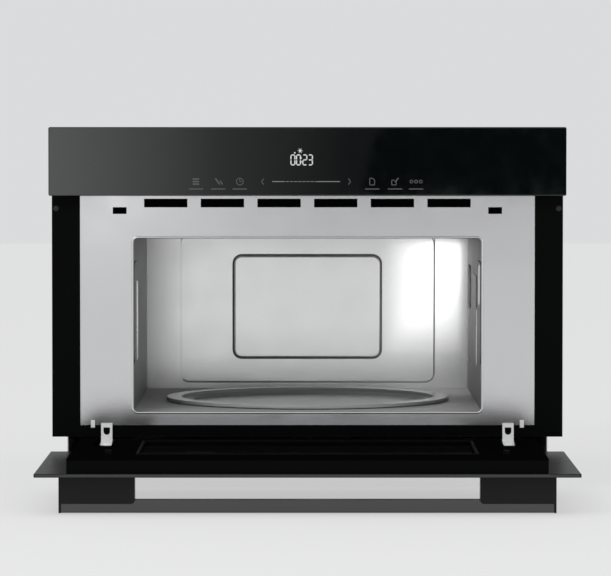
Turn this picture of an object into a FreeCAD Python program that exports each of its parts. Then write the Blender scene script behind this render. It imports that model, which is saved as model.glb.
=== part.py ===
"""Built-in microwave oven with a drop-down door, modelled with the door standing open.

Frame: millimetres, +Z up, +Y into the cabinet, +X to the right of someone facing the oven.
The origin lies on the underside of the base plate, midway along the depth of the chassis.

Every piece is an object of one document. Its sizes are expressions over the cells of the
sheet called Dims, and PLACES names the positions that several pieces share.
"""
import FreeCAD
import Part

import os
import re

import Sketcher

SIZES = {
    # Front of the oven
    "front_width": 595, "front_thick": 22, "panel_height": 79,
    "door_gap": 3, "door_over": 45.3, "door_bottom": 2, "glass_thick": 4, "glass_corner": 2,
    # Sheet-metal chassis
    "front_overlap": 19.5, "top_drop": 8, "rear_room": 110, "sheet": 1,
    "base_setback": 10, "overrun": 5, "fit_gap": 0.3,
    "slit_width": 4, "slit_length": 46, "slit_pitch": 10, "base_slit_count": 9,
    "side_slit_count": 10, "top_slit_count": 12, "rear_slit_count": 11, "slit_margin": 28,
    # Black flange round the oven mouth
    "flange_inset": 2.5, "frame_bottom": 26, "frame_top_drop": 4,
    "view_bottom": 39.5, "view_above_panel": 13,
    "mount_inset": 5, "mount_drop": 12, "mount_hole": 2.25,
    # Bright front plate with vents and latch slots
    "plate_gap": 2, "plate_side_lap": 12.5, "plate_low_lap": 9.5, "plate_top_lap": 12,
    "vent_count": 6, "vent_bridge": 15.4, "vent_height": 10, "vent_inset": 53.2, "vent_drop": 3.7,
    "latch_inset": 45.3, "latch_drop": 14.4, "latch_slot_width": 16, "latch_slot_height": 7.8,
    # Oven cavity
    "side_room": 76, "cavity_height": 203, "cavity_depth": 430, "cavity_bottom": 53.7,
    "mouth_corner": 6,
    "wall_boss_rise": 1.5, "wall_boss_start": 20, "wall_boss_run": 90,
    "wall_boss_low": 55, "wall_boss_top": 30, "wall_boss_corner": 14,
    "back_step_side": 42, "back_step_margin": 8, "back_step_rise": 2, "back_step_corner": 12,
    "back_panel_side": 68.6, "back_panel_low": 39.8, "back_panel_top": 36.6,
    "back_panel_rise": 3, "back_panel_corner": 9, "boss_edge": 1.2, "back_groove": 3.2,
    # Turntable in its recess in the cavity floor
    "recess_lap": 8, "recess_depth": 20, "drive_hole": 9,
    "dish_side_room": 32, "dish_end_room": 45, "dish_slope": 22, "dish_flare": 8, "dish_thick": 4,
    "dish_rim_rise": 1, "dish_sink": 6, "dish_rim_bead": 1.5, "lug_size": 7, "lug_reach": 19, "lug_height": 3,
    "track_inset": 30, "roller_width": 8, "roller_gap": 0.3, "axle_radius": 2, "axle_gap": 0.08,
    "ring_wide": 8, "ring_height": 6, "roller_side_gap": 0.5, "spoke_wide": 9,
    "ring_eye_radius": 38, "ring_eye_wide": 7,
    "coupler_radius": 15, "coupler_arm_reach": 26, "coupler_arm_wide": 9, "coupler_lift": 2, "lug_gap": 0.6,
    "shaft_radius": 3.5, "shaft_hole_gap": 0.1, "motor_radius": 25, "motor_height": 17, "shaft_depth": 9,
    "motor_ear_reach": 34, "motor_ear_wide": 12,
    # Component tray above the cavity, and what stands on it
    "tray_inset": 1, "tray_front": 45,
    "guide_deep": 40, "guide_wide": 90, "guide_end": 12, "guide_set": 200,
    "feed_wide": 70, "feed_rise": 54.3, "feed_height": 90, "mica_thick": 0.8, "mica_margin": 8,
    "tube_flange_thick": 2, "tube_wide": 80, "tube_lift": 9.3, "tube_tall": 86, "tube_run": 78,
    "tube_core": 20, "tube_fin_count": 8, "tube_fin_thick": 1.2, "tube_wall": 2, "filter_run": 34,
    "filter_inset": 10,
    "antenna_radius": 8, "antenna_run": 20, "antenna_hole": 10,
    "core_inset": 28, "core_wide": 96, "core_back": 101, "core_deep": 60, "core_high": 84,
    "core_leg": 30, "core_side_leg": 15, "core_yoke": 15, "coil_overhang": 16, "coil_gap": 0.5,
    "can_gap": 44, "can_wide": 95, "can_back": 86, "can_deep": 52, "can_high": 34, "can_corner": 14,
    "terminal_wide": 8, "terminal_thick": 1, "terminal_run": 10, "terminal_pitch": 20,
    "clamp_wide": 16, "clamp_thick": 1, "clamp_foot": 14,
    "diode_lead": 80, "diode_gap": 33, "diode_radius": 4, "diode_length": 24, "diode_tab": 12,
    "board_inset": 38, "board_wide": 140, "board_set": 90, "board_deep": 120, "board_thick": 1.6,
    "standoff_radius": 3, "standoff_height": 8, "standoff_inset": 6,
    "relay_wide": 22, "relay_deep": 16, "relay_high": 18, "relay_pitch": 30, "relay_count": 4,
    "relay_inset": 14,
    "choke_radius": 13, "choke_high": 22,
    # Cooling fan
    "fan_x": 60, "fan_frame_wide": 110, "fan_frame_high": 112, "fan_frame_deep": 20, "fan_setback": 10,
    "fan_bore": 50, "fan_spider_wide": 9, "fan_spider_thick": 2, "fan_tip_gap": 3, "fan_hub": 15,
    "fan_blade_count": 5, "fan_blade_deep": 11, "fan_blade_thick": 1.8, "fan_blade_pitch": 32, "fan_gap": 2,
    "fan_motor_wide": 52, "fan_motor_high": 44, "fan_motor_deep": 24, "fan_shaft": 2, "fan_shaft_gap": 0.05,
    "fan_coil_wide": 26, "fan_coil_high": 20, "fan_coil_out": 6,
    # Oven lamp on the right wall
    "lamp_back": 57, "lamp_low": 110, "lamp_window": 44, "lamp_lens_margin": 4, "lamp_lens_thick": 1.6,
    "lamp_box_deep": 34, "lamp_bulb_radius": 9, "lamp_cap_radius": 7, "lamp_cap_run": 14, "lamp_bulb_out": 12,
    # Mains cord gland in the rear panel
    "gland_inset": 78, "gland_z": 60, "gland_bore": 4.2, "gland_barrel": 8, "gland_flange": 11,
    "gland_flange_thick": 3, "gland_nut_thick": 4, "gland_gap": 0.1,
    # Door latch switches behind the front plate
    "lock_wide": 32, "lock_deep": 32, "lock_below": 21.6, "lock_above": 24.4, "lock_pocket_wide": 12,
    "lock_pocket_below": 7.6, "lock_pocket_above": 9.4, "lock_pocket_deep": 10, "lock_web": 4,
    "switch_wide": 20, "switch_deep": 16, "switch_high": 7, "switch_gap": 0.2, "switch_below": 4.1,
    "plunger_wide": 3.6, "plunger_high": 3, "plunger_below": 2.1, "plunger_reach": 5.5, "plunger_run": 10.5,
    "plunger_gap": 0.2, "plunger_travel": 2,
    # Control panel
    "carrier_inset": 5, "carrier_wall": 2, "carrier_margin": 4, "carrier_window_wide": 250,
    "carrier_window_high": 56,
    "control_board_wide": 264, "control_board_high": 62, "control_board_back": 8, "carrier_post": 3,
    "display_x": -7.5, "display_rise": 41, "display_wide": 46, "display_high": 24,
    # Hinges
    "hinge_out": 10, "hinge_rise": 16.5, "hinge_inset": 30, "hinge_wide": 13, "hinge_wall": 2,
    "hinge_plate_thick": 2.5, "hinge_plate_low": 15.8, "hinge_plate_high": 41.5,
    "hinge_eye": 3.75, "hinge_eye_z": 32.1, "hinge_eye_top": 36.9,
    "hinge_ear": 4.5, "hinge_tail": 40, "hinge_foot_start": 14, "hinge_foot_thick": 2,
    "pin_radius": 2.5, "pin_length": 15.4, "pin_press_gap": 0.02, "pin_run_gap": 0.06,
    "leaf_side_gap": 0.3, "leaf_thick": 3, "leaf_run": 70,
    "buffer_inset": 14.5, "buffer_wide": 4.6, "buffer_below": 3, "buffer_above": 5.5, "buffer_out": 1.5,
    "buffer_round": 0.7,
    # Door
    "pan_margin": 35.5, "pan_low_margin": 10, "pan_top_margin": 6, "pan_deep": 14, "choke_inset": 40,
    "window_side_lap": 17, "window_edge_lap": 12.5, "window_lap": 6, "window_thick": 2, "glass_arris": 0.6,
    "screen_thick": 0.6, "screen_lap": 4,
    "cover_thick": 2, "notch_wide": 20, "notch_top": 46, "cover_slot_top": 118,
    "hook_slot_wide": 9, "hook_slot_below": 6.6, "hook_slot_above": 7.4,
    # Door latch hooks
    "hook_wide": 7, "hook_below": 2, "hook_above": 1.2, "hook_barb": 4, "hook_pivot_below": 0.4,
    "hook_pivot_deep": 10, "hook_tip_deep": 29, "hook_barb_deep": 24.8, "hook_boss": 3.4,
    "trunnion_radius": 1.6, "trunnion_gap": 0.1, "trunnion_reach": 6.2, "rib_start": 4.2, "rib_thick": 2.4,
    "rib_half": 4.5,
    "rib_drop": 6,
    # Handle
    "handle_inset": 28.5, "handle_high": 18, "handle_deep": 14, "handle_standoff": 26.5, "handle_drop": 22,
    "handle_round": 2, "post_wide": 83, "post_lap": 4, "post_lip": 1.5, "post_cap": 2.5, "post_corner": 4,
    "screw_radius": 2, "screw_gap": 0.2, "screw_head": 4, "screw_head_high": 2.4, "screw_bite": 14,
    "screw_from_end": 20, "screw_pitch": 42, "screw_room": 6,
    # Screws in the rear panel
    "case_screw_radius": 1.8, "case_screw_head": 4, "case_screw_head_high": 2, "case_screw_run": 5,
    "case_screw_gap": 0.2, "case_screw_inset": 14,
}

PLACES = {
    # Planes of the chassis along Y
    "chassis_depth": "cavity_depth + rear_room",
    "front": "-chassis_depth / 2",
    "rear": "chassis_depth / 2",
    "face": "front - sheet",
    "front_plane": "face - front_thick",
    "plate_back": "front + sheet",
    "cavity_rear": "plate_back + cavity_depth",
    # Widths that follow the front
    "chassis_width": "front_width - 2 * front_overlap",
    "cavity_width": "chassis_width - 2 * side_room",
    "frame_width": "front_width - 2 * flange_inset",
    "mount_reach": "frame_width / 2 - mount_inset",
    "plate_width": "chassis_width - 2 * (sheet + plate_gap)",
    "view_width": "plate_width - 2 * plate_side_lap",
    "pan_width": "front_width - 2 * pan_margin",
    "latch_reach": "pan_width / 2 - latch_inset",
    "vent_pitch": "2 * (latch_reach - vent_inset) / (vent_count - 1)",
    "vent_width": "vent_pitch - vent_bridge",
    "hinge_reach": "pan_width / 2 - hinge_inset",
    "buffer_reach": "view_width / 2 - buffer_inset",
    "handle_length": "front_width - 2 * handle_inset",
    "window_width": "cavity_width - 2 * window_side_lap",
    "window_height": "cavity_height - 2 * window_edge_lap",
    "window_z": "cavity_bottom + cavity_height / 2",
    # Embossed walls of the cavity
    "wall_boss_height": "cavity_height - wall_boss_low - wall_boss_top",
    "back_step_width": "cavity_width - 2 * back_step_side",
    "back_panel_width": "back_step_width - 2 * back_panel_side",
    "back_panel_height": "cavity_height - back_panel_low - back_panel_top",
    # Turntable, which fits the width and the depth of the cavity
    "table_y": "plate_back + cavity_depth / 2",
    "dish_radius": "min(cavity_width / 2 - dish_side_room; cavity_depth / 2 - dish_end_room)",
    "dish_base_radius": "dish_radius - dish_slope",
    "recess_radius": "dish_radius - recess_lap",
    "roller_track": "dish_base_radius - track_inset",
    # Levels of the front along Z
    "cavity_top": "cavity_bottom + cavity_height",
    "door_top": "cavity_top + door_over",
    "panel_bottom": "door_top + door_gap",
    "front_top": "panel_bottom + panel_height",
    "chassis_height": "front_top - top_drop",
    "display_z": "panel_bottom + display_rise",
    "tray_z": "cavity_top + sheet",
    "tray_top": "tray_z + sheet",
    "latch_z": "door_top - latch_drop",
    "frame_top": "front_top - frame_top_drop",
    "view_top": "panel_bottom + view_above_panel",
    "mount_height": "door_top - mount_drop",
    "plate_bottom": "view_bottom - plate_low_lap",
    "plate_top": "view_top + plate_top_lap",
    "pan_bottom": "door_bottom + pan_low_margin",
    "pan_top": "door_top - pan_top_margin",
    "buffer_low": "view_bottom - buffer_below",
    "buffer_high": "view_bottom + buffer_above",
    # Latches, measured on the closed door
    "lock_low": "latch_z - lock_below",
    "lock_high": "latch_z + lock_above",
    "lock_pocket_low": "latch_z - lock_pocket_below",
    "lock_pocket_high": "latch_z + lock_pocket_above",
    "switch_low": "latch_z - switch_below",
    "plunger_low": "latch_z - plunger_below",
    "hook_slot_low": "latch_z - hook_slot_below",
    "hook_slot_high": "latch_z + hook_slot_above",
    "hook_low": "latch_z - hook_below",
    "hook_high": "latch_z + hook_above",
    "hook_barb_top": "hook_high + hook_barb",
    "hook_pivot_z": "latch_z - hook_pivot_below",
    # Hinge line and the open door
    "pivot_y": "face - hinge_out",
    "door_outer": "hinge_rise + hinge_out - front_thick",
    "door_glass_in": "door_outer + glass_thick",
    "pan_floor": "door_glass_in + sheet",
    "pan_rim": "door_glass_in + pan_deep",
    "door_in": "pan_rim + cover_thick",
    # Turntable levels
    "recess_top": "cavity_bottom - recess_depth",
    "dish_under": "cavity_bottom - dish_sink",
    "rim_under": "cavity_bottom + dish_rim_rise",
    "roller_radius": "(dish_under - recess_top) / 2 - roller_gap",
    "roller_z": "(dish_under + recess_top) / 2",
    # Handle, measured on the open door
    "handle_back": "door_outer - handle_standoff",
    "handle_face": "handle_back - handle_deep",
    "handle_top": "door_top - handle_drop",
    "handle_bottom": "handle_top - handle_high",
    # Right wall of the cavity
    "wall_in": "cavity_width / 2",
    "wall_out": "cavity_width / 2 + sheet",
    "guide_left": "wall_out",
    "guide_right": "wall_out + guide_deep",
    "guide_y": "front + guide_set",
    "feed_low": "cavity_bottom + feed_rise",
    "tube_low": "tray_top + tube_lift",
    "tube_high": "tube_low + tube_tall",
    "tube_z": "(tube_low + tube_high) / 2",
    "guide_low": "feed_low - guide_end",
    "guide_high": "tube_high + guide_end",
    "lamp_y": "cavity_rear - lamp_back - lamp_window / 2",
    "lamp_z": "cavity_bottom + lamp_low + lamp_window / 2",
    # Pieces on the tray and the rear panel, from the left side of the chassis
    "core_x": "core_inset - chassis_width / 2",
    "core_y": "cavity_rear - core_back",
    "can_x": "core_x + core_wide + can_gap",
    "can_y": "cavity_rear - can_back",
    "diode_x": "can_x + diode_lead",
    "diode_y": "can_y + can_deep + diode_gap",
    "board_x": "board_inset - chassis_width / 2",
    "gland_x": "gland_inset - chassis_width / 2",
    # Fan axis
    "fan_z": "tray_top + fan_frame_high / 2",
    "fan_back": "rear - sheet - fan_setback",
    "fan_front": "fan_back - fan_frame_deep",
}

LEFT, RIGHT = -1, 1
FUNCTIONS = ("min",)
DOC = FreeCAD.newDocument("BuiltInMicrowave")
NODES = {}


def make_sheet():
    """The sheet of driving dimensions: one row per size, with its alias."""
    sheet = DOC.addObject("Spreadsheet::Sheet", "Dims")
    for row, (alias, size) in enumerate(SIZES.items(), start=1):
        sheet.set("A%d" % row, alias)
        sheet.set("B%d" % row, str(size))
        sheet.setAlias("B%d" % row, alias)
    DOC.recompute()
    return sheet


SHEET = make_sheet()


def expand(text):
    """An expression over the sheet: named places are opened up and sizes get the sheet's name."""
    def swap(match):
        word = match.group(0)
        if word in PLACES:
            return "(" + expand(PLACES[word]) + ")"
        if word in SIZES:
            return "Dims." + word
        if word in FUNCTIONS:
            return word
        raise KeyError("no size or place is called " + word)
    return re.sub(r"[A-Za-z_]\w*", swap, text)


def value(text):
    """The number that an expression stands for."""
    return float(SHEET.evalExpression(expand(text)))


def opened(height):
    """Y on the open door of a point that lies at that height on the closed door."""
    return "pivot_y - (%s - hinge_rise)" % height


def mirrored(side, low, high):
    """An X span given for the right side, or its mirror image for the left side."""
    if side == RIGHT:
        return low, high
    return "-(%s)" % high, "-(%s)" % low


def about(centre, width):
    """A span of that width about a centre."""
    return "%s - %s / 2" % (centre, width), "%s + %s / 2" % (centre, width)


def box(x, y, z, name="Block"):
    """A block between named planes: x, y and z are (low, high) expressions."""
    block = DOC.addObject("Part::Box", name)
    for side, axis, (low, high) in zip(("Length", "Width", "Height"), "xyz", (x, y, z)):
        block.setExpression(side, expand("(%s) - (%s)" % (high, low)))
        block.setExpression("Placement.Base." + axis, expand(low))
    return block


TURN = {
    "x": FreeCAD.Rotation(FreeCAD.Vector(0, 1, 0), 90),
    "y": FreeCAD.Rotation(FreeCAD.Vector(1, 0, 0), -90),
    "z": FreeCAD.Rotation(),
}


def rod(axis, centre, span, radius, name="Rod"):
    """A cylinder along an axis: centre holds the other two coordinates in X, Y, Z order."""
    cylinder = DOC.addObject("Part::Cylinder", name)
    cylinder.Placement = FreeCAD.Placement(FreeCAD.Vector(), TURN[axis])
    cylinder.setExpression("Radius", expand(radius))
    cylinder.setExpression("Height", expand("(%s) - (%s)" % (span[1], span[0])))
    others = [letter for letter in "xyz" if letter != axis]
    for letter, place in zip([axis] + others, [span[0]] + list(centre)):
        cylinder.setExpression("Placement.Base." + letter, expand(place))
    return cylinder


def cone(centre, span, radii, name="Flare"):
    """A cone frustum along Z."""
    frustum = DOC.addObject("Part::Cone", name)
    frustum.setExpression("Radius1", expand(radii[0]))
    frustum.setExpression("Radius2", expand(radii[1]))
    frustum.setExpression("Height", expand("(%s) - (%s)" % (span[1], span[0])))
    for letter, place in zip("xyz", list(centre) + [span[0]]):
        frustum.setExpression("Placement.Base." + letter, expand(place))
    return frustum


def fuse(*shapes):
    """One solid made of several that touch or overlap."""
    if len(shapes) == 1:
        return shapes[0]
    joined = DOC.addObject("Part::MultiFuse", "Fuse")
    joined.Shapes = list(shapes)
    joined.Refine = True
    return joined


def cut(base, *tools):
    """A solid less one or more others."""
    less = DOC.addObject("Part::Cut", "Cut")
    less.Base = base
    less.Tool = fuse(*tools)
    less.Refine = True
    return less


def group(*shapes):
    """Separate solids that share one node."""
    together = DOC.addObject("Part::Compound", "Group")
    together.Links = list(shapes)
    return together


def tube(axis, centre, span, outer, inner):
    """A hollow rod, with its bore cut clean through."""
    through = ("%s - overrun" % span[0], "%s + overrun" % span[1])
    return cut(rod(axis, centre, span, outer), rod(axis, centre, through, inner))


def rounded(shape, radius, chosen):
    """Fillets the edges of a shape that a test picks out."""
    DOC.recompute()
    size = value(radius)
    fillet = DOC.addObject("Part::Fillet", "Round")
    fillet.Base = shape
    fillet.Edges = [(i, size, size) for i, edge in enumerate(shape.Shape.Edges, start=1) if chosen(edge)]
    return fillet


def along(direction):
    """A test for straight edges that run along X, Y or Z."""
    unit = FreeCAD.Vector(*[1 if letter == direction else 0 for letter in "xyz"])

    def test(edge):
        return isinstance(edge.Curve, Part.Line) and abs(edge.Curve.Direction.dot(unit)) > 1 - 1e-6
    return test


def on_plane(letter, place):
    """A test for edges that lie wholly in the plane where a coordinate has that place."""
    level = value(place)

    def test(edge):
        bound = edge.BoundBox
        low, high = getattr(bound, letter.upper() + "Min"), getattr(bound, letter.upper() + "Max")
        return abs(low - level) < 1e-4 and abs(high - level) < 1e-4
    return test


def turned(shape, axis, angle, centre=("0", "0", "0")):
    """A copy of a shape, drawn about the origin, turned about an axis and moved to a centre."""
    direction = FreeCAD.Vector(*[1 if letter == axis else 0 for letter in "xyz"])
    holder = DOC.addObject("Part::Compound", "Turned")
    holder.Links = [shape]
    holder.Placement = FreeCAD.Placement(FreeCAD.Vector(), FreeCAD.Rotation(direction, angle))
    for letter, place in zip("xyz", centre):
        holder.setExpression("Placement.Base." + letter, expand(place))
    return holder


def node(name, shape):
    """Names a finished piece. Its label becomes the name of its file."""
    shape.Label = name
    NODES[name] = shape
    return shape


def draw_rectangle(sketch, x, z):
    """Draws a rectangle in a sketch and ties its four sides to named planes."""
    first = sketch.GeometryCount
    low, high = [value(place) for place in x]
    bottom, top = [value(place) for place in z]
    corners = [FreeCAD.Vector(u, v, 0) for u, v in ((low, bottom), (high, bottom), (high, top), (low, top))]
    for i in range(4):
        sketch.addGeometry(Part.LineSegment(corners[i], corners[(i + 1) % 4]))
    for i in range(4):
        sketch.addConstraint(Sketcher.Constraint("Coincident", first + i, 2, first + (i + 1) % 4, 1))
    for kind, side in (("Horizontal", 0), ("Vertical", 1), ("Horizontal", 2), ("Vertical", 3)):
        sketch.addConstraint(Sketcher.Constraint(kind, first + side))
    ties = (("DistanceX", 0, x[0]), ("DistanceX", 2, x[1]), ("DistanceY", 0, z[0]), ("DistanceY", 2, z[1]))
    for kind, side, place in ties:
        tie = sketch.addConstraint(Sketcher.Constraint(kind, -1, 1, first + side, 1, value(place)))
        sketch.setExpression("Constraints[%d]" % tie, expand(place))


def draw_circle(sketch, x, z, radius):
    """Draws a circle in a sketch and ties its centre and radius."""
    at = FreeCAD.Vector(value(x), value(z), 0)
    ring = sketch.addGeometry(Part.Circle(at, FreeCAD.Vector(0, 0, 1), value(radius)))
    ties = (
        (Sketcher.Constraint("DistanceX", -1, 1, ring, 3, value(x)), x),
        (Sketcher.Constraint("DistanceY", -1, 1, ring, 3, value(z)), z),
        (Sketcher.Constraint("Radius", ring, value(radius)), radius),
    )
    for constraint, place in ties:
        tie = sketch.addConstraint(constraint)
        sketch.setExpression("Constraints[%d]" % tie, expand(place))


def front_sketch(body, name):
    """A sketch on the body's own upright plane, seen from the front: X across and Z up."""
    sketch = body.newObject("Sketcher::SketchObject", name)
    plane = [feature for feature in body.Origin.OriginFeatures if feature.Role == "XZ_Plane"][0]
    sketch.AttachmentSupport = [(plane, "")]
    sketch.MapMode = "FlatFace"
    return sketch


def upright_plate(name, x, z, back, thick):
    """A body with one padded rectangle. The pad grows from its back plane towards the viewer."""
    body = DOC.addObject("PartDesign::Body", name)
    body.setExpression("Placement.Base.y", expand(back))
    outline = front_sketch(body, "Outline")
    draw_rectangle(outline, x, z)
    pad = body.newObject("PartDesign::Pad", "Plate")
    pad.Profile = outline
    pad.setExpression("Length", expand(thick))
    DOC.recompute()
    return body


def pocket(body, sketch, name="Opening"):
    """Cuts a sketch clean through an upright plate, and checks that metal was removed."""
    before = body.Shape.Volume
    hole = body.newObject("PartDesign::Pocket", name)
    hole.Profile = sketch
    hole.Type = "ThroughAll"
    hole.Reversed = True
    DOC.recompute()
    if body.Shape.Volume >= before:
        raise ValueError("a pocket in %s cut nothing" % body.Name)
    return hole


def round_body(body, radius, chosen):
    """Adds a fillet feature to the edges of a body that a test picks out."""
    DOC.recompute()
    tip = body.Tip
    edges = ["Edge%d" % i for i, edge in enumerate(tip.Shape.Edges, start=1) if chosen(edge)]
    fillet = body.newObject("PartDesign::Fillet", "Rounding")
    fillet.Base = (tip, edges)
    fillet.setExpression("Radius", expand(radius))
    body.Tip = fillet
    DOC.recompute()


def slits(count, across, centre, start, step, low, high):
    """A row of vent slits. Slits run along one axis and repeat along another."""
    row = []
    for i in range(int(value(count))):
        place = "%s + %d * %s" % (start, i, step)
        spans = {across: about(centre[across], "slit_length")}
        repeat = [letter for letter in "xyz" if letter not in (across, centre["through"])][0]
        spans[repeat] = (place, place + " + slit_width")
        spans[centre["through"]] = ("%s - overrun" % low, "%s + overrun" % high)
        row.append(box(spans["x"], spans["y"], spans["z"], "Slit"))
    return row


def make_casing():
    """Base plate, side panels, top cover and rear panel of bent sheet."""
    half = "chassis_width / 2"
    base = box(("-" + half, half), ("face + base_setback", "rear"), ("0", "sheet"))
    vents = slits("base_slit_count", "x", {"x": "0", "through": "z"},
                  "rear - slit_margin - base_slit_count * slit_pitch", "slit_pitch", "0", "sheet")
    node("base_plate", cut(base, *vents))

    for side, name in ((LEFT, "side_panel_left"), (RIGHT, "side_panel_right")):
        x = mirrored(side, half + " - sheet", half)
        wall = box(x, ("front", "rear"), ("sheet", "chassis_height - sheet"))
        swing = box((x[0] + " - overrun", x[1] + " + overrun"), ("front - overrun", "face + base_setback"),
                    ("0", "frame_bottom"))
        vents = slits("side_slit_count", "z", {"z": "chassis_height - slit_margin - slit_length / 2",
                                               "through": "x"},
                      "rear - slit_margin - side_slit_count * slit_pitch", "slit_pitch", x[0], x[1])
        node(name, cut(wall, swing, *vents))

    top = box(("-" + half, half), ("front", "rear"), ("chassis_height - sheet", "chassis_height"))
    vents = slits("top_slit_count", "y", {"y": "rear - slit_margin - slit_length", "through": "z"},
                  "-top_slit_count * slit_pitch / 2", "slit_pitch", "chassis_height - sheet",
                  "chassis_height")
    node("top_cover", cut(top, *vents))

    inner = half + " - sheet"
    back = box(("-(%s)" % inner, inner), ("rear - sheet", "rear"), ("sheet", "chassis_height - sheet"))
    vents = slits("rear_slit_count", "z", {"z": "fan_z", "through": "y"},
                  "fan_x - rear_slit_count * slit_pitch / 2", "slit_pitch", "rear - sheet", "rear")
    through = ("rear - sheet - overrun", "rear + overrun")
    holes = [rod("y", ("gland_x", "gland_z"), through, "gland_barrel + gland_gap")]
    holes += [rod("y", at, through, "case_screw_radius + case_screw_gap") for at in case_screw_places()]
    node("rear_panel", cut(back, *(vents + holes)))


def case_screw_places():
    """X and Z of the screws that hold the rear panel: corners and mid-sides."""
    reach = "chassis_width / 2 - case_screw_inset"
    levels = ("case_screw_inset", "chassis_height / 2", "chassis_height - case_screw_inset")
    return [(sign + "(" + reach + ")", level) for sign in ("-", "") for level in levels]


def make_case_screws():
    """Pan-head screws in the rear panel."""
    screws = []
    for at in case_screw_places():
        head = rod("y", at, ("rear", "rear + case_screw_head_high"), "case_screw_head")
        shank = rod("y", at, ("rear - case_screw_run", "rear"), "case_screw_radius")
        screws.append(fuse(head, shank))
    node("case_screws", group(*screws))


def make_cord_gland():
    """Cord inlet: a flanged bush through the rear panel with a nut inside."""
    at = ("gland_x", "gland_z")
    flange = rod("y", at, ("rear", "rear + gland_flange_thick"), "gland_flange")
    barrel = rod("y", at, ("rear - sheet - gland_nut_thick", "rear"), "gland_barrel")
    nut = rod("y", at, ("rear - sheet - gland_nut_thick", "rear - sheet"), "gland_flange")
    bore = rod("y", at, ("rear - sheet - gland_nut_thick - overrun", "rear + gland_flange_thick + overrun"),
               "gland_bore")
    node("cord_gland", cut(fuse(flange, barrel, nut), bore))


def make_front_frame():
    """Black flange that bears on the cabinet edges, with a window for the bright front plate."""
    body = upright_plate("FrontFrame", about("0", "frame_width"), ("frame_bottom", "frame_top"), "front",
                         "sheet")
    window = front_sketch(body, "Window")
    draw_rectangle(window, about("0", "view_width"), ("view_bottom", "view_top"))
    pocket(body, window)
    screws = front_sketch(body, "CabinetScrews")
    for sign in ("-", ""):
        draw_circle(screws, sign + "mount_reach", "mount_height", "mount_hole")
    pocket(body, screws)
    node("front_frame", body)


def make_front_plate():
    """Bright steel plate round the oven mouth, with a row of air vents and two latch slots."""
    body = upright_plate("FrontPlate", about("0", "plate_width"), ("plate_bottom", "plate_top"),
                         "plate_back", "sheet")
    mouth = front_sketch(body, "Mouth")
    draw_rectangle(mouth, about("0", "cavity_width"), ("cavity_bottom", "cavity_top"))
    pocket(body, mouth)
    half = value("cavity_width / 2")

    def mouth_corner(edge):
        bound = edge.BoundBox
        return along("y")(edge) and abs(abs(bound.XMin) - half) < 1e-4
    round_body(body, "mouth_corner", mouth_corner)

    latches = front_sketch(body, "LatchSlots")
    for sign in ("-", ""):
        draw_rectangle(latches, about(sign + "latch_reach", "latch_slot_width"),
                       about("latch_z", "latch_slot_height"))
    pocket(body, latches)

    vent = front_sketch(body, "Vent")
    first = "-(vent_count - 1) * vent_pitch / 2"
    top = "panel_bottom - vent_drop"
    draw_rectangle(vent, about(first, "vent_width"), (top + " - vent_height", top))
    slot = pocket(body, vent, "VentSlot")
    row = body.newObject("PartDesign::LinearPattern", "VentRow")
    row.Originals = [slot]
    row.Direction = (vent, ["H_Axis"])
    row.setExpression("Length", expand("(vent_count - 1) * vent_pitch"))
    row.setExpression("Occurrences", expand("vent_count"))
    body.Tip = row
    DOC.recompute()
    node("front_plate", body)


def make_cavity():
    """Welded oven cavity: two side walls, ceiling, recessed floor and embossed rear wall."""
    y = ("plate_back", "cavity_rear")
    z = ("cavity_bottom - sheet", "cavity_top + sheet")
    boss_low = "cavity_bottom + wall_boss_low"
    for side, name in ((LEFT, "cavity_left_wall"), (RIGHT, "cavity_right_wall")):
        wall = box(mirrored(side, "wall_in", "wall_out"), y, z)
        boss = box(mirrored(side, "wall_in - wall_boss_rise", "wall_in"),
                   ("plate_back + wall_boss_start", "plate_back + wall_boss_start + wall_boss_run"),
                   (boss_low, boss_low + " + wall_boss_height"))
        shape = fuse(wall, rounded(boss, "wall_boss_corner", along("x")))
        if side == RIGHT:
            feed = box(("wall_in - overrun", "wall_out + overrun"), about("guide_y", "feed_wide"),
                       ("feed_low", "feed_low + feed_height"))
            lamp = box(("wall_in - overrun", "wall_out + overrun"), about("lamp_y", "lamp_window"),
                       about("lamp_z", "lamp_window"))
            shape = cut(shape, feed, lamp)
        node(name, shape)

    node("cavity_ceiling", box(("-wall_in", "wall_in"), y, ("cavity_top", "cavity_top + sheet")))
    make_cavity_floor(y)

    rear = box(("-wall_out", "wall_out"), ("cavity_rear", "cavity_rear + sheet"), z)
    step = box(about("0", "back_step_width"), ("cavity_rear - back_step_rise", "cavity_rear"),
               ("cavity_bottom + back_step_margin", "cavity_top - back_step_margin"))
    front_of_step = "cavity_rear - back_step_rise"
    panel_low = "cavity_bottom + back_panel_low"
    panel_high = panel_low + " + back_panel_height"
    panel = box(about("0", "back_panel_width"), (front_of_step + " - back_panel_rise", "cavity_rear"),
                (panel_low, panel_high))
    groove = box(about("0", "(back_panel_width + 2 * back_groove)"),
                 (front_of_step + " - overrun", "cavity_rear"),
                 (panel_low + " - back_groove", panel_high + " + back_groove"))
    groove = rounded(groove, "back_panel_corner + back_groove", along("y"))
    step = rounded(rounded(step, "back_step_corner", along("y")), "boss_edge", on_plane("y", front_of_step))
    panel = rounded(panel, "back_panel_corner", along("y"))
    panel = rounded(panel, "boss_edge", on_plane("y", front_of_step + " - back_panel_rise"))
    node("cavity_rear_wall", fuse(rear, cut(step, groove), panel))


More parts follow.
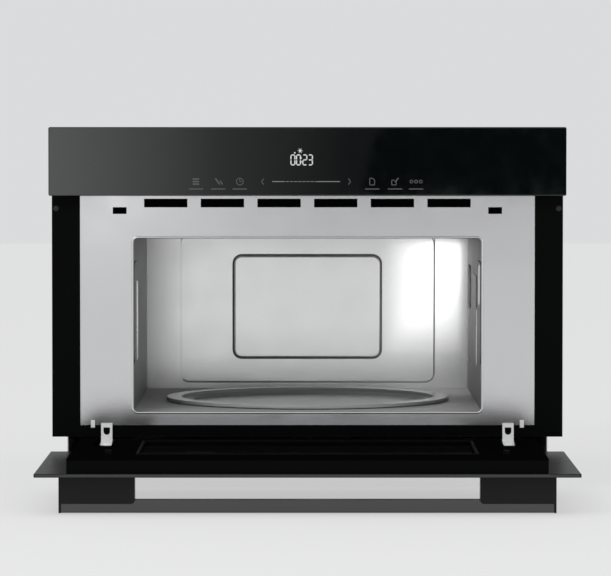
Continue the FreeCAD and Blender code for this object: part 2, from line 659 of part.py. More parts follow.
def make_cavity_floor(y):
    """Cavity floor with a round well for the turntable and a hole for its drive shaft."""
    at = ("0", "table_y")
    floor = box(("-wall_in", "wall_in"), y, ("cavity_bottom - sheet", "cavity_bottom"))
    mouth = rod("z", at, ("cavity_bottom - sheet - overrun", "cavity_bottom + overrun"), "recess_radius")
    well = rod("z", at, ("recess_top - sheet", "cavity_bottom"), "recess_radius + sheet")
    hollow = rod("z", at, ("recess_top", "cavity_bottom + overrun"), "recess_radius")
    drive = rod("z", at, ("recess_top - sheet - overrun", "recess_top + overrun"), "drive_hole")
    node("cavity_floor", fuse(cut(floor, mouth), cut(well, hollow, drive)))


def make_turntable():
    """Glass dish, its three-armed coupler on the motor shaft, and the motor under the well."""
    at = ("0", "table_y")
    dish_top = "dish_under + dish_thick"
    rim_radius = "dish_base_radius + dish_flare"
    base = rod("z", at, ("dish_under", dish_top), "dish_base_radius")
    flare = cut(cone(at, ("dish_under", "rim_under"), ("dish_base_radius", rim_radius)),
                cone(at, (dish_top, "rim_under + dish_thick"),
                     ("dish_base_radius - dish_thick / 2", rim_radius + " - dish_thick / 2")),
                rod("z", at, ("dish_under", dish_top), "dish_base_radius - dish_thick"))
    rim = cut(rod("z", at, ("rim_under", "rim_under + dish_thick"), "dish_radius"),
              rod("z", at, ("rim_under - overrun", "rim_under + dish_thick + overrun"),
                  rim_radius + " - dish_thick"))
    rim = rounded(rim, "dish_rim_bead", lambda edge: abs(edge.BoundBox.XMax - value("dish_radius")) < 1e-4
                  and edge.BoundBox.ZLength < 1e-4)
    lugs = []
    for turn in range(3):
        lug = rod("z", ("lug_reach", "0"), ("dish_under - lug_height", "dish_under"), "lug_size / 2")
        lugs.append(turned(lug, "z", 60 + 120 * turn, at + ("0",)))
    node("glass_turntable", fuse(base, flare, rim, *lugs))

    top = "dish_under - fit_gap"
    hub = rod("z", at, ("recess_top + coupler_lift", top), "coupler_radius")
    arms = []
    for turn in range(3):
        arm = box(("0", "coupler_arm_reach"), about("0", "coupler_arm_wide"), (top + " - lug_height", top))
        arms.append(turned(arm, "z", 120 * turn, at + ("0",)))
    shaft = rod("z", at, ("recess_top - sheet - shaft_depth", "recess_top + coupler_lift"), "shaft_radius")
    room = []
    for turn in range(3):
        pocket_for_lug = rod("z", ("lug_reach", "0"), ("dish_under - lug_height - lug_gap", "dish_under"),
                             "lug_size / 2 + lug_gap")
        room.append(turned(pocket_for_lug, "z", 60 + 120 * turn, at + ("0",)))
    node("turntable_coupler", cut(fuse(hub, shaft, *arms), *room))

    motor_top = "recess_top - sheet"
    can = rod("z", at, (motor_top + " - motor_height", motor_top), "motor_radius")
    ear = box(("-motor_ear_reach", "motor_ear_reach"), about("table_y", "motor_ear_wide"),
              (motor_top + " - sheet", motor_top))
    shaft_bore = rod("z", at, (motor_top + " - shaft_depth - fit_gap", motor_top + " + overrun"),
                     "shaft_radius + shaft_hole_gap")
    node("turntable_motor", cut(fuse(can, ear), shaft_bore))


def make_roller_ring():
    """Ring under the dish with three spokes, and a roller on each of its three axles."""
    at = ("0", "table_y")
    outer = "roller_track - roller_width / 2 - roller_side_gap"
    span = about("roller_z", "ring_height")
    ring = tube("z", at, span, outer, outer + " - ring_wide")
    eye = tube("z", at, span, "ring_eye_radius", "ring_eye_radius - ring_eye_wide")
    parts = [ring, eye]
    for turn in range(3):
        spoke = box(("ring_eye_radius - ring_eye_wide / 2", outer + " - ring_wide / 2"),
                    about("0", "spoke_wide"), span)
        axle = rod("x", ("0", "roller_z"), (outer + " - ring_wide / 2", "roller_track + roller_width / 2"),
                   "axle_radius")
        parts += [turned(spoke, "z", 120 * turn, at + ("0",)), turned(axle, "z", 120 * turn, at + ("0",))]
        wheel = tube("x", ("0", "roller_z"), about("roller_track", "roller_width"), "roller_radius",
                     "axle_radius + axle_gap")
        node("roller_%d" % (turn + 1), turned(wheel, "z", 120 * turn, at + ("0",)))
    node("roller_ring", fuse(*parts))


def make_tray():
    """Sheet tray on the cavity ceiling, with a notch for the waveguide."""
    half = "chassis_width / 2 - sheet - tray_inset"
    tray = box(("-(%s)" % half, half), ("front + tray_front", "rear - sheet"), ("tray_z", "tray_top"))
    room = box(("wall_in", half + " + overrun"), about("guide_y", "(guide_wide + 2 * fit_gap)"),
               ("tray_z - overrun", "tray_top + overrun"))
    node("component_tray", cut(tray, room))


def make_microwave_source():
    """Magnetron on the waveguide, which feeds the cavity through a mica-covered port."""
    y = about("guide_y", "guide_wide")
    duct = box(("guide_left", "guide_right"), y, ("guide_low", "guide_high"))
    hollow = box(("guide_left + sheet", "guide_right - sheet"), about("guide_y", "(guide_wide - 2 * sheet)"),
                 ("guide_low + sheet", "guide_high - sheet"))
    feed = box(("guide_left - overrun", "guide_left + sheet + overrun"), about("guide_y", "feed_wide"),
               ("feed_low", "feed_low + feed_height"))
    port = rod("x", ("guide_y", "tube_z"), ("guide_left - overrun", "guide_left + sheet + overrun"),
               "antenna_hole")
    node("waveguide", cut(duct, hollow, feed, port))

    margin = "feed_wide + 2 * mica_margin"
    node("waveguide_cover", box(("wall_in - mica_thick", "wall_in"), about("guide_y", "(%s)" % margin),
                                ("feed_low - mica_margin", "feed_low + feed_height + mica_margin")))

    wide = about("guide_y", "tube_wide")
    high = ("tube_low", "tube_high")
    flange_left = "guide_left - tube_flange_thick"
    yoke_left = flange_left + " - tube_run"
    flange = box((flange_left, "guide_left"), y, high)
    yoke = cut(box((yoke_left, flange_left), wide, high),
               box((yoke_left + " + tube_wall", flange_left + " - tube_wall"),
                   ("guide_y - tube_wide", "guide_y + tube_wide"),
                   ("tube_low + tube_wall", "tube_high - tube_wall")))
    core = rod("x", ("guide_y", "tube_z"), (yoke_left, flange_left), "tube_core")
    fins = []
    step = "(tube_run - 2 * tube_wall) / (tube_fin_count + 1)"
    for i in range(int(value("tube_fin_count"))):
        start = "%s + tube_wall + %d * %s" % (yoke_left, i + 1, step)
        fins.append(box((start, start + " + tube_fin_thick"), wide, high))
    filter_box = box((yoke_left + " - filter_run", yoke_left),
                     about("guide_y", "(tube_wide - 2 * filter_inset)"),
                     ("tube_low + filter_inset", "tube_high - filter_inset"))
    antenna = rod("x", ("guide_y", "tube_z"), ("guide_left", "guide_left + antenna_run"), "antenna_radius")
    node("magnetron", fuse(flange, yoke, core, filter_box, antenna, *fins))


def make_power_parts():
    """High-voltage transformer, capacitor with its clamp, and diode."""
    core_x = ("core_x", "core_x + core_wide")
    core_y = ("core_y", "core_y + core_deep")
    leg_left = "core_x + core_wide / 2 - core_leg / 2"
    leg_right = "core_x + core_wide / 2 + core_leg / 2"
    window_z = ("tray_top + core_yoke", "tray_top + core_high - core_yoke")
    through = (core_y[0] + " - overrun", core_y[1] + " + overrun")
    core = cut(box(core_x, core_y, ("tray_top", "tray_top + core_high")),
               box(("core_x + core_side_leg", leg_left), through, window_z),
               box((leg_right, "core_x + core_wide - core_side_leg"), through, window_z))
    node("transformer_core", core)
    coil_z = (window_z[0] + " + coil_gap", window_z[1] + " - coil_gap")
    coil = cut(box(("core_x + core_side_leg + coil_gap", "core_x + core_wide - core_side_leg - coil_gap"),
                   (core_y[0] + " - coil_overhang", core_y[1] + " + coil_overhang"), coil_z),
               box((leg_left + " - coil_gap", leg_right + " + coil_gap"),
                   (core_y[0] + " - coil_gap", core_y[1] + " + coil_gap"),
                   (coil_z[0] + " - overrun", coil_z[1] + " + overrun")))
    node("transformer_windings", coil)

    can_x, can_y = ("can_x", "can_x + can_wide"), ("can_y", "can_y + can_deep")
    can = rounded(box(can_x, can_y, ("tray_top", "tray_top + can_high")), "can_corner", along("x"))
    blades = [box((can_x[1], can_x[1] + " + terminal_run"),
                  about("can_y + can_deep / 2 %s terminal_pitch / 2" % sign, "terminal_wide"),
                  about("tray_top + can_high / 2", "terminal_thick")) for sign in ("-", "+")]
    node("capacitor", fuse(can, *blades))
    strap_x = about("can_x + can_wide / 2", "clamp_wide")
    out_y = (can_y[0] + " - clamp_thick", can_y[1] + " + clamp_thick")
    strap = cut(box(strap_x, out_y, ("tray_top", "tray_top + can_high + clamp_thick")),
                box((strap_x[0] + " - overrun", strap_x[1] + " + overrun"), can_y,
                    ("tray_top - overrun", "tray_top + can_high")))
    feet = [box(strap_x, (out_y[0] + " - clamp_foot", out_y[0]), ("tray_top", "tray_top + clamp_thick")),
            box(strap_x, (out_y[1], out_y[1] + " + clamp_foot"), ("tray_top", "tray_top + clamp_thick"))]
    node("capacitor_clamp", fuse(strap, *feet))

    pill = rod("x", ("diode_y", "tray_top + diode_radius"), ("diode_x", "diode_x + diode_length"),
               "diode_radius")
    tab = box(("diode_x + diode_length", "diode_x + diode_length + diode_tab"),
              about("diode_y", "2 * diode_radius"),
              ("tray_top", "tray_top + terminal_thick"))
    link = box(("diode_x + diode_length / 2", "diode_x + diode_length"), about("diode_y", "2 * diode_radius"),
               ("tray_top", "tray_top + terminal_thick"))
    node("diode", fuse(pill, tab, link))


def make_power_board():
    """Relay and mains filter board on four standoffs."""
    x, y = ("board_x", "board_x + board_wide"), ("front + board_set", "front + board_set + board_deep")
    under = "tray_top + standoff_height"
    over = under + " + board_thick"
    parts = [box(x, y, (under, over))]
    for px in (x[0] + " + standoff_inset", x[1] + " - standoff_inset"):
        for py in (y[0] + " + standoff_inset", y[1] + " - standoff_inset"):
            parts.append(rod("z", (px, py), ("tray_top", under), "standoff_radius"))
    for i in range(int(value("relay_count"))):
        start = "board_x + relay_inset + %d * relay_pitch" % i
        parts.append(box((start, start + " + relay_wide"),
                         (y[0] + " + relay_inset", y[0] + " + relay_inset + relay_deep"),
                         (over, over + " + relay_high")))
    for share in ("1 / 3", "2 / 3"):
        parts.append(rod("z", ("board_x + board_wide * " + share, y[1] + " - relay_inset - choke_radius"),
                         (over, over + " + choke_high"), "choke_radius"))
    node("power_board", fuse(*parts))


def make_fan():
    """Axial fan behind the rear slits: frame, motor on a spider, and a five-bladed impeller."""
    at = ("fan_x", "fan_z")
    frame = box(about("fan_x", "fan_frame_wide"), ("fan_front", "fan_back"),
                ("tray_top", "tray_top + fan_frame_high"))
    bore = rod("y", at, ("fan_front - overrun", "fan_back + overrun"), "fan_bore")
    spider_y = ("fan_front - fan_spider_thick", "fan_front")
    bar = box(about("fan_x", "fan_frame_wide"), spider_y, about("fan_z", "fan_spider_wide"))
    post = box(about("fan_x", "fan_spider_wide"), spider_y, ("tray_top", "tray_top + fan_frame_high"))
    room = rod("y", at, (spider_y[0] + " - overrun", spider_y[1] + " + overrun"), "fan_shaft + fan_gap")
    node("fan_shroud", cut(fuse(cut(frame, bore), bar, post), room))

    motor_y = (spider_y[0] + " - fan_motor_deep", spider_y[0])
    stack = box(about("fan_x", "fan_motor_wide"), motor_y, about("fan_z", "fan_motor_high"))
    coil = box(about("fan_x", "fan_coil_wide"), (motor_y[0] + " - fan_coil_out", motor_y[0]),
               about("fan_z", "fan_coil_high"))
    shaft_room = rod("y", at, (motor_y[0], motor_y[1] + " + overrun"), "fan_shaft + fan_shaft_gap")
    node("fan_motor", cut(fuse(stack, coil), shaft_room))

    hub_y = ("fan_front + fan_gap", "fan_front + fan_gap + fan_blade_deep")
    hub = rod("y", at, hub_y, "fan_hub")
    shaft = rod("y", at, (motor_y[0] + " + fan_gap", hub_y[0]), "fan_shaft")
    blades = []
    count = int(value("fan_blade_count"))
    for i in range(count):
        blade = box(("fan_hub - fan_blade_thick", "fan_bore - fan_tip_gap"), about("0", "fan_blade_thick"),
                    about("0", "fan_blade_deep"))
        pitched = turned(blade, "x", value("fan_blade_pitch"))
        blades.append(turned(pitched, "y", 360 * i / count, ("fan_x", "(%s + %s) / 2" % hub_y, "fan_z")))
    node("fan_impeller", fuse(hub, shaft, *blades))


def make_lamp():
    """Oven lamp on the right wall: lens inside the cavity, bulb and housing outside it."""
    outer = "lamp_window + 2 * lamp_lens_margin"
    lens = box(("wall_in - lamp_lens_thick", "wall_in"), about("lamp_y", "(%s)" % outer),
               about("lamp_z", "(%s)" % outer))
    node("lamp_lens", rounded(lens, "lamp_lens_margin", along("x")))
    hood = cut(box(("wall_out", "wall_out + lamp_box_deep"), about("lamp_y", "(%s)" % outer),
                   about("lamp_z", "(%s)" % outer)),
               box(("wall_out - overrun", "wall_out + lamp_box_deep - sheet"), about("lamp_y", "lamp_window"),
                   about("lamp_z", "lamp_window")))
    node("lamp_housing", hood)
    cap_x = ("wall_out + lamp_box_deep - sheet - lamp_cap_run", "wall_out + lamp_box_deep - sheet")
    cap = rod("x", ("lamp_y", "lamp_z"), cap_x, "lamp_cap_radius")
    bulb = rod("x", ("lamp_y", "lamp_z"), (cap_x[0] + " - lamp_bulb_out", cap_x[0]), "lamp_bulb_radius")
    bulb = rounded(bulb, "lamp_cap_radius / 2", on_plane("x", cap_x[0] + " - lamp_bulb_out"))
    node("lamp_bulb", fuse(cap, bulb))


def make_interlocks():
    """Latch housings behind the front plate, each with a microswitch and its plunger."""
    housings, switches = [], []
    for side, name in ((LEFT, "switch_plunger_left"), (RIGHT, "switch_plunger_right")):
        centre = "latch_reach" if side == RIGHT else "-latch_reach"
        deep = "plate_back + lock_pocket_deep"
        web = deep + " + lock_web"
        shell = box(about(centre, "lock_wide"), ("plate_back", "plate_back + lock_deep"),
                    ("lock_low", "lock_high"))
        hook_room = box(about(centre, "lock_pocket_wide"), ("plate_back - overrun", deep),
                        ("lock_pocket_low", "lock_pocket_high"))
        switch_x = about(centre, "switch_wide")
        switch_y = (web, web + " + switch_deep")
        switch_z = ("switch_low", "switch_low + switch_high")
        switch_room = box(about(centre, "(switch_wide + 2 * switch_gap)"),
                          (web, "plate_back + lock_deep + overrun"),
                          ("switch_low - switch_gap", "switch_low + switch_high + switch_gap"))
        guide = box(about(centre, "(plunger_wide + 2 * plunger_gap)"), ("plate_back", web + " + overrun"),
                    ("plunger_low - plunger_gap", "plunger_low + plunger_high + plunger_gap"))
        housings.append(cut(shell, hook_room, switch_room, guide))
        tip = "plate_back + plunger_reach"
        plunger_room = box(about(centre, "(plunger_wide + 2 * plunger_gap)"),
                           (web + " - overrun", tip + " + plunger_run + plunger_travel + fit_gap"),
                           ("plunger_low - plunger_gap", "plunger_low + plunger_high + plunger_gap"))
        switches.append(cut(box(switch_x, switch_y, switch_z), plunger_room))
        node(name, box(about(centre, "plunger_wide"), (tip, tip + " + plunger_run"),
                       ("plunger_low", "plunger_low + plunger_high")))
    node("interlock_housings", group(*housings))
    node("interlock_switches", group(*switches))


def make_control_panel():
    """Glass touch panel on a moulded carrier, with the control board and display behind it."""
    body = upright_plate("ControlGlass", about("0", "front_width"), ("panel_bottom", "front_top"),
                         "front_plane + glass_thick", "glass_thick")
    round_body(body, "glass_corner", along("y"))
    round_body(body, "glass_arris", on_plane("y", "-glass_thick"))
    node("control_glass", body)

    x = about("0", "(front_width - 2 * carrier_inset)")
    y = ("front_plane + glass_thick", "face")
    z = ("panel_bottom + carrier_margin", "front_top - carrier_margin")
    shell = box(x, y, z)
    hollow = box((x[0] + " + carrier_wall", x[1] + " - carrier_wall"),
                 (y[0] + " + carrier_wall", "face + overrun"),
                 (z[0] + " + carrier_wall", z[1] + " - carrier_wall"))
    mid_z = "(panel_bottom + front_top) / 2"
    window = box(about("0", "carrier_window_wide"), (y[0] + " - overrun", y[0] + " + carrier_wall + overrun"),
                 about(mid_z, "carrier_window_high"))
    board_y = ("face - control_board_back", "face - control_board_back + board_thick")
    posts = []
    for sign_x in ("-", "+"):
        for sign_z in ("-", "+"):
            at = ("0 %s (control_board_wide / 2 - carrier_post)" % sign_x,
                  "%s %s (control_board_high / 2 - carrier_post / 2)" % (mid_z, sign_z))
            posts.append(rod("y", at, (y[0], board_y[0]), "carrier_post"))
    node("control_carrier", cut(fuse(cut(shell, hollow), *posts), window))
    node("control_board", box(about("0", "control_board_wide"), board_y, about(mid_z, "control_board_high")))
    node("display_module", box(about("display_x", "display_wide"), (y[0], board_y[0]),
                               about("display_z", "display_high")))


def make_hinges():
    """Zinc-plated hinge brackets on the base plate, their pins, and the leaves on the door."""
    brackets, pins, leaves = [], [], []
    for side in (LEFT, RIGHT):
        centre = "hinge_reach" if side == RIGHT else "-hinge_reach"
        pivot = ("pivot_y", "hinge_rise")
        wide = about(centre, "hinge_wide")
        plate_y = ("face - hinge_plate_thick", "face")
        plate = box(wide, plate_y, ("hinge_plate_low", "hinge_plate_high"))
        through = (plate_y[0] + " - overrun", plate_y[1] + " + overrun")
        eye = fuse(rod("y", (centre, "hinge_eye_z"), through, "hinge_eye"),
                   box(about(centre, "2 * hinge_eye"), through, ("hinge_eye_z", "hinge_eye_top")))
        walls = []
        for edge in ((wide[0], wide[0] + " + hinge_wall"), (wide[1] + " - hinge_wall", wide[1])):
            walls.append(rod("x", pivot, edge, "hinge_ear"))
            walls.append(box(edge, ("pivot_y", "face + hinge_tail"), about("hinge_rise", "2 * hinge_ear")))
            walls.append(box(edge, ("face + hinge_foot_start", "face + hinge_tail"), ("sheet", "hinge_rise")))
        foot = box(wide, ("face + hinge_foot_start", "face + hinge_tail"),
                   ("sheet", "sheet + hinge_foot_thick"))
        bore = rod("x", pivot, (wide[0] + " - overrun", wide[1] + " + overrun"), "pin_radius + pin_press_gap")
        brackets.append(cut(fuse(plate, foot, *walls), eye, bore))
        pins.append(rod("x", pivot, about(centre, "pin_length"), "pin_radius"))
        leaf_wide = about(centre, "(hinge_wide - 2 * hinge_wall - 2 * leaf_side_gap)")
        barrel = rod("x", pivot, leaf_wide, "hinge_ear")
        strap = box(leaf_wide, (opened("hinge_rise + leaf_run"), "pivot_y"),
                    ("pan_floor", "pan_floor + leaf_thick"))
        web = box(leaf_wide, ("pivot_y - hinge_ear", "pivot_y"), ("pan_floor", "hinge_rise"))
        run_bore = rod("x", pivot, (wide[0], wide[1]), "pin_radius + pin_run_gap")
        leaves.append(cut(fuse(barrel, web, strap), run_bore))
    node("hinge_brackets", group(*brackets))
    node("hinge_pins", group(*pins))
    node("door_hinge_leaves", group(*leaves))


def make_door_buffers():
    """Two small moulded buffers that the closing door meets."""
    buffers = []
    for sign in ("-", ""):
        wide = about(sign + "buffer_reach", "buffer_wide")
        nose = rounded(box(wide, ("face - buffer_out", "face"), ("buffer_low", "buffer_high")),
                       "buffer_round",
                       on_plane("y", "face - buffer_out"))
        root = box(wide, ("face", "front"), ("view_bottom", "buffer_high"))
        buffers.append(fuse(nose, root))
    node("door_buffers", group(*buffers))


def hinge_notches(top):
    """Room in the door pan or its cover for the two hinge brackets, up to a height on the closed door."""
    return [box(about(sign + "hinge_reach", "notch_wide"),
                (opened(top), opened("pan_bottom") + " + overrun"),
                ("door_glass_in - overrun", "door_in + overrun")) for sign in ("-", "")]


def handle_screw_places():
    """X and Y on the open door of the screws that hold the two handle posts."""
    places = []
    mid = opened("(handle_top + handle_bottom) / 2")
    for sign in ("-", ""):
        for along_post in ("handle_length / 2 - screw_from_end",
                           "handle_length / 2 - screw_from_end - screw_pitch"):
            places.append((sign + "(" + along_post + ")", mid))
    return places


def make_door():
    """Open door: outer glass, choke pan, perforated screen, inner window and choke cover."""
    glass = box(about("0", "front_width"), (opened("door_top"), opened("door_bottom")),
                ("door_outer", "door_glass_in"))
    glass = rounded(glass, "glass_corner", along("z"))
    for face in ("door_outer", "door_glass_in"):
        glass = rounded(glass, "glass_arris", on_plane("z", face))
    drill = ("door_outer - overrun", "door_glass_in + overrun")
    holes = [rod("z", at, drill, "screw_radius + screw_gap") for at in handle_screw_places()]
    node("door_glass", cut(glass, *holes))

    pan_y = (opened("pan_top"), opened("pan_bottom"))
    x = about("0", "pan_width")
    pan = cut(box(x, pan_y, ("door_glass_in", "pan_rim")),
              box((x[0] + " + sheet", x[1] + " - sheet"), (pan_y[0] + " + sheet", pan_y[1] + " - sheet"),
                  ("pan_floor", "pan_rim + overrun")))
    ring_x = (x[0] + " + choke_inset", x[1] + " - choke_inset")
    ring_y = (pan_y[0] + " + choke_inset", pan_y[1] + " - choke_inset")
    ring = cut(box(ring_x, ring_y, ("pan_floor", "pan_rim - sheet")),
               box((ring_x[0] + " + sheet", ring_x[1] + " - sheet"),
                   (ring_y[0] + " + sheet", ring_y[1] + " - sheet"),
                   ("pan_floor - overrun", "pan_rim + overrun")))
    window_x = about("0", "window_width")
    window_y = (opened("window_z + window_height / 2"), opened("window_z - window_height / 2"))
    view = box(window_x, window_y, ("door_glass_in - overrun", "door_in + overrun"))
    heads = [rod("z", at, ("door_glass_in - overrun", "pan_floor + overrun"), "screw_room")
             for at in handle_screw_places()]
    node("door_inner_frame", cut(fuse(pan, ring), view, *(heads + hinge_notches("notch_top"))))

    make_door_screen(window_x, window_y)

    lap_x = (window_x[0] + " - window_lap", window_x[1] + " + window_lap")
    lap_y = (window_y[0] + " - window_lap", window_y[1] + " + window_lap")
    node("door_window", box(lap_x, lap_y, ("pan_rim - window_thick", "pan_rim")))

    cover = box(x, pan_y, ("pan_rim", "door_in"))
    slots = [box(about(sign + "latch_reach", "hook_slot_wide"),
                 (opened("hook_slot_high"), opened("hook_slot_low")),
                 ("pan_rim - overrun", "door_in + overrun")) for sign in ("-", "")]
    ribs = []
    for sign in ("-", ""):
        for flank in (-1, 1):
            reach = "%slatch_reach %s (rib_start + rib_thick / 2)" % (sign, "-" if flank < 0 else "+")
            rib = box(about(reach, "rib_thick"), about(opened("hook_pivot_z"), "2 * rib_half"),
                      ("door_outer + rib_drop", "pan_rim"))
            ribs.append(rib)
    bores = [rod("x", (opened("hook_pivot_z"), "door_outer + hook_pivot_deep"),
                 about(sign + "latch_reach", "(2 * rib_start + 2 * rib_thick + 2 * overrun)"),
                 "trunnion_radius + trunnion_gap")
             for sign in ("-", "")]
    slots.extend(hinge_notches("cover_slot_top"))
    node("choke_cover", cut(fuse(cut(cover, view, *slots), *ribs), *bores))


def make_door_screen(window_x, window_y):
    """Thin steel screen across the window, with a coarse grid of holes."""
    lap_x = (window_x[0] + " - screen_lap", window_x[1] + " + screen_lap")
    lap_y = (window_y[0] + " - screen_lap", window_y[1] + " + screen_lap")
    node("door_screen", box(lap_x, lap_y, ("pan_floor", "pan_floor + screen_thick")))


def make_latch_hooks():
    """Sprung hooks on the door that enter the latch slots, each on its own trunnions."""
    for side, name in ((LEFT, "latch_hook_left"), (RIGHT, "latch_hook_right")):
        centre = "latch_reach" if side == RIGHT else "-latch_reach"
        wide = about(centre, "hook_wide")
        pivot = (opened("hook_pivot_z"), "door_outer + hook_pivot_deep")
        stem = box(wide, (opened("hook_high"), opened("hook_low")),
                   ("door_outer + hook_pivot_deep", "door_outer + hook_tip_deep"))
        barb = box(wide, (opened("hook_barb_top"), opened("hook_high")),
                   ("door_outer + hook_barb_deep", "door_outer + hook_tip_deep"))
        boss = rod("x", pivot, wide, "hook_boss")
        trunnion = rod("x", pivot, about(centre, "2 * trunnion_reach"), "trunnion_radius")
        node(name, fuse(stem, barb, boss, trunnion))


def make_handle():
    """Flat bar handle on two broad posts, screwed through the door glass."""
    span_y = (opened("handle_top"), opened("handle_bottom"))
    bar_x = about("0", "handle_length")
    bar_z = ("handle_face", "handle_back")
    bar = box(bar_x, span_y, bar_z)
    node("handle_bar", rounded(bar, "handle_round", lambda edge: along("x")(edge)
                               and on_plane("z", "handle_face")(edge)))
    posts = []
    post_y = (span_y[0] + " - post_lip", span_y[1])
    for side in (LEFT, RIGHT):
        end = "handle_length / 2 + post_cap"
        block = box(mirrored(side, end + " - post_wide", end), post_y,
                    ("handle_back - post_lap", "door_outer"))
        inner = value(mirrored(side, end + " - post_wide", end)[0 if side == RIGHT else 1])
        low = value("handle_back - post_lap")
        block = rounded(block, "post_corner",
                        lambda edge: along("y")(edge) and abs(edge.BoundBox.XMin - inner) < 1e-4
                        and abs(edge.BoundBox.ZMin - low) < 1e-4)
        cap = box(mirrored(side, "handle_length / 2", end), post_y, ("handle_face", "handle_back"))
        room = box(bar_x, (span_y[0], span_y[1] + " + overrun"), ("handle_face - overrun", "handle_back"))
        drills = [rod("z", at, ("door_outer - screw_bite - fit_gap", "door_outer + overrun"),
                      "screw_radius + screw_gap / 2")
                  for at in handle_screw_places()]
        posts.append(cut(fuse(block, cap), room, *drills))
    node("handle_posts", group(*posts))
    screws = [fuse(rod("z", at, ("door_outer - screw_bite", "door_glass_in"), "screw_radius"),
                   rod("z", at, ("door_glass_in", "door_glass_in + screw_head_high"), "screw_head"))
              for at in handle_screw_places()]
    node("handle_screws", group(*screws))


def check_and_write():
    """Stops on any failed object or bad shape, then writes one file per piece."""
    DOC.recompute()
    failed = [item.Label for item in DOC.Objects if "Invalid" in item.State or "Error" in item.State]
    if failed:
        raise ValueError("these objects failed to build: %s" % failed)
    for name, piece in NODES.items():
        shape = piece.Shape
        if shape.isNull() or not shape.isValid() or not shape.Solids:
            raise ValueError("the shape of %s is not a valid solid" % name)
    os.makedirs("parts", exist_ok=True)
    for name, piece in NODES.items():
        piece.Shape.exportStep("parts/%s.step" % name)
        print("%-24s %2d solid(s) %12.1f mm3" % (name, len(piece.Shape.Solids), piece.Shape.Volume))
    print(len(NODES), "pieces written")


make_casing()
make_case_screws()
make_cord_gland()
make_front_frame()
make_front_plate()
make_cavity()
make_turntable()
make_roller_ring()
make_tray()
make_microwave_source()
make_power_parts()
make_power_board()
make_fan()
make_lamp()
make_interlocks()
make_control_panel()
make_hinges()
make_door_buffers()
make_door()
make_latch_hooks()
make_handle()
check_and_write()
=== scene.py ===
"""Looks of the built-in microwave: finishes, drawn details, studio and camera.

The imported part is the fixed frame, in metres, with +X right, +Y into the cabinet and +Z up.
Each class dresses one sub-assembly of the oven and adds the small forms that the solids lack.
"""
import logging
import math
from dataclasses import dataclass
from enum import Enum
from typing import Iterable, Sequence

import bmesh
import bpy
from mathutils import Matrix, Vector


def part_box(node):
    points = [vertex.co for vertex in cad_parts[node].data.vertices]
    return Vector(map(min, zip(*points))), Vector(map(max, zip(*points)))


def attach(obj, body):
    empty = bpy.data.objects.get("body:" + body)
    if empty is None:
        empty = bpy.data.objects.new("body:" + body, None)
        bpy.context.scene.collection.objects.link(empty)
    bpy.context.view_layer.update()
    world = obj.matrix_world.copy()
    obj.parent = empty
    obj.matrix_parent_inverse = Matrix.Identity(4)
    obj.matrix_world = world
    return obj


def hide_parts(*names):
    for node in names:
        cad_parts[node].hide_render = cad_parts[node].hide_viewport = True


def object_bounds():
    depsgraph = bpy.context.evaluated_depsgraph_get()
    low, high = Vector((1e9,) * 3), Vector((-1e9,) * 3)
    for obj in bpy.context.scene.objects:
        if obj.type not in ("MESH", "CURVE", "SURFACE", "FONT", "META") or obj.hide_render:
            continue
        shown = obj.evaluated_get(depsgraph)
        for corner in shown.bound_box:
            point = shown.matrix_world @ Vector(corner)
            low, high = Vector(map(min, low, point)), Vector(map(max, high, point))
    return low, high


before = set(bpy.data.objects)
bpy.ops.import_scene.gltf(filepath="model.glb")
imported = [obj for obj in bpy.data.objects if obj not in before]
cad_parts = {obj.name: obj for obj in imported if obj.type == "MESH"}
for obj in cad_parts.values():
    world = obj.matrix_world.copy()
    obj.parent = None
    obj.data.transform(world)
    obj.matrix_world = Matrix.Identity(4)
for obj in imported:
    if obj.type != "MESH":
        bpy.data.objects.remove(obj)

CAD_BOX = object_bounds()
LOG = logging.getLogger("microwave")
MM = 0.001
X_AXIS = Vector((1.0, 0.0, 0.0))
Y_AXIS = Vector((0.0, 1.0, 0.0))
Z_AXIS = Vector((0.0, 0.0, 1.0))
Colour = tuple[float, float, float]
Place = tuple[float, float, float]
Flat = tuple[float, float]


class Grain(Enum):
    """Direction of a brushed grain, as noise frequencies per metre along X, Y and Z."""

    ACROSS = (5.0, 1400.0, 1400.0)
    CLOUDED = (160.0, 160.0, 160.0)


class Axis(Enum):
    """Axis of the part, by the letter that nodes have for it."""

    ACROSS = "X"
    DEEP = "Y"
    UPRIGHT = "Z"


class Operation(Enum):
    """What a maths node does with its two numbers."""

    PLUS = "ADD"
    TIMES = "MULTIPLY"
    POWER = "POWER"
    LARGER = "MAXIMUM"


class Side(Enum):
    """Left and right of the oven, as the sign of X."""

    LEFT = -1
    RIGHT = 1

    @property
    def word(self) -> str:
        """The side as the names of nodes and pieces have it."""
        return self.name.lower()

    @property
    def out(self) -> Vector:
        """Direction away from the middle of the oven."""
        return X_AXIS * self.value


class Plane(Enum):
    """Plane that an outline is drawn on: its two axes, and the axis that it is raised along."""

    FRONT = (0, 2, 1)
    TOP = (0, 1, 2)
    SIDE = (1, 2, 0)

    def point(self, across: float, up: float, raised: float) -> Vector:
        """Puts a point of the plane into the frame of the part.

        Args:
            across: its place along the plane's first axis.
            up: its place along the second axis.
            raised: its height over the plane.

        Returns:
            The point.
        """
        place = Vector()
        for axis, value in zip(self.value, (across, up, raised)):
            place[axis] = value
        return place


def shade(colour: Colour, factor: float) -> Colour:
    """A colour made lighter or darker by a factor."""
    return tuple(min(1.0, channel * factor) for channel in colour)


# Sockets of a Mix node that mixes colours: its factor, its two colours and its result
MIX_FACTOR = 0
MIX_FIRST = 6
MIX_SECOND = 7
MIX_RESULT = 2


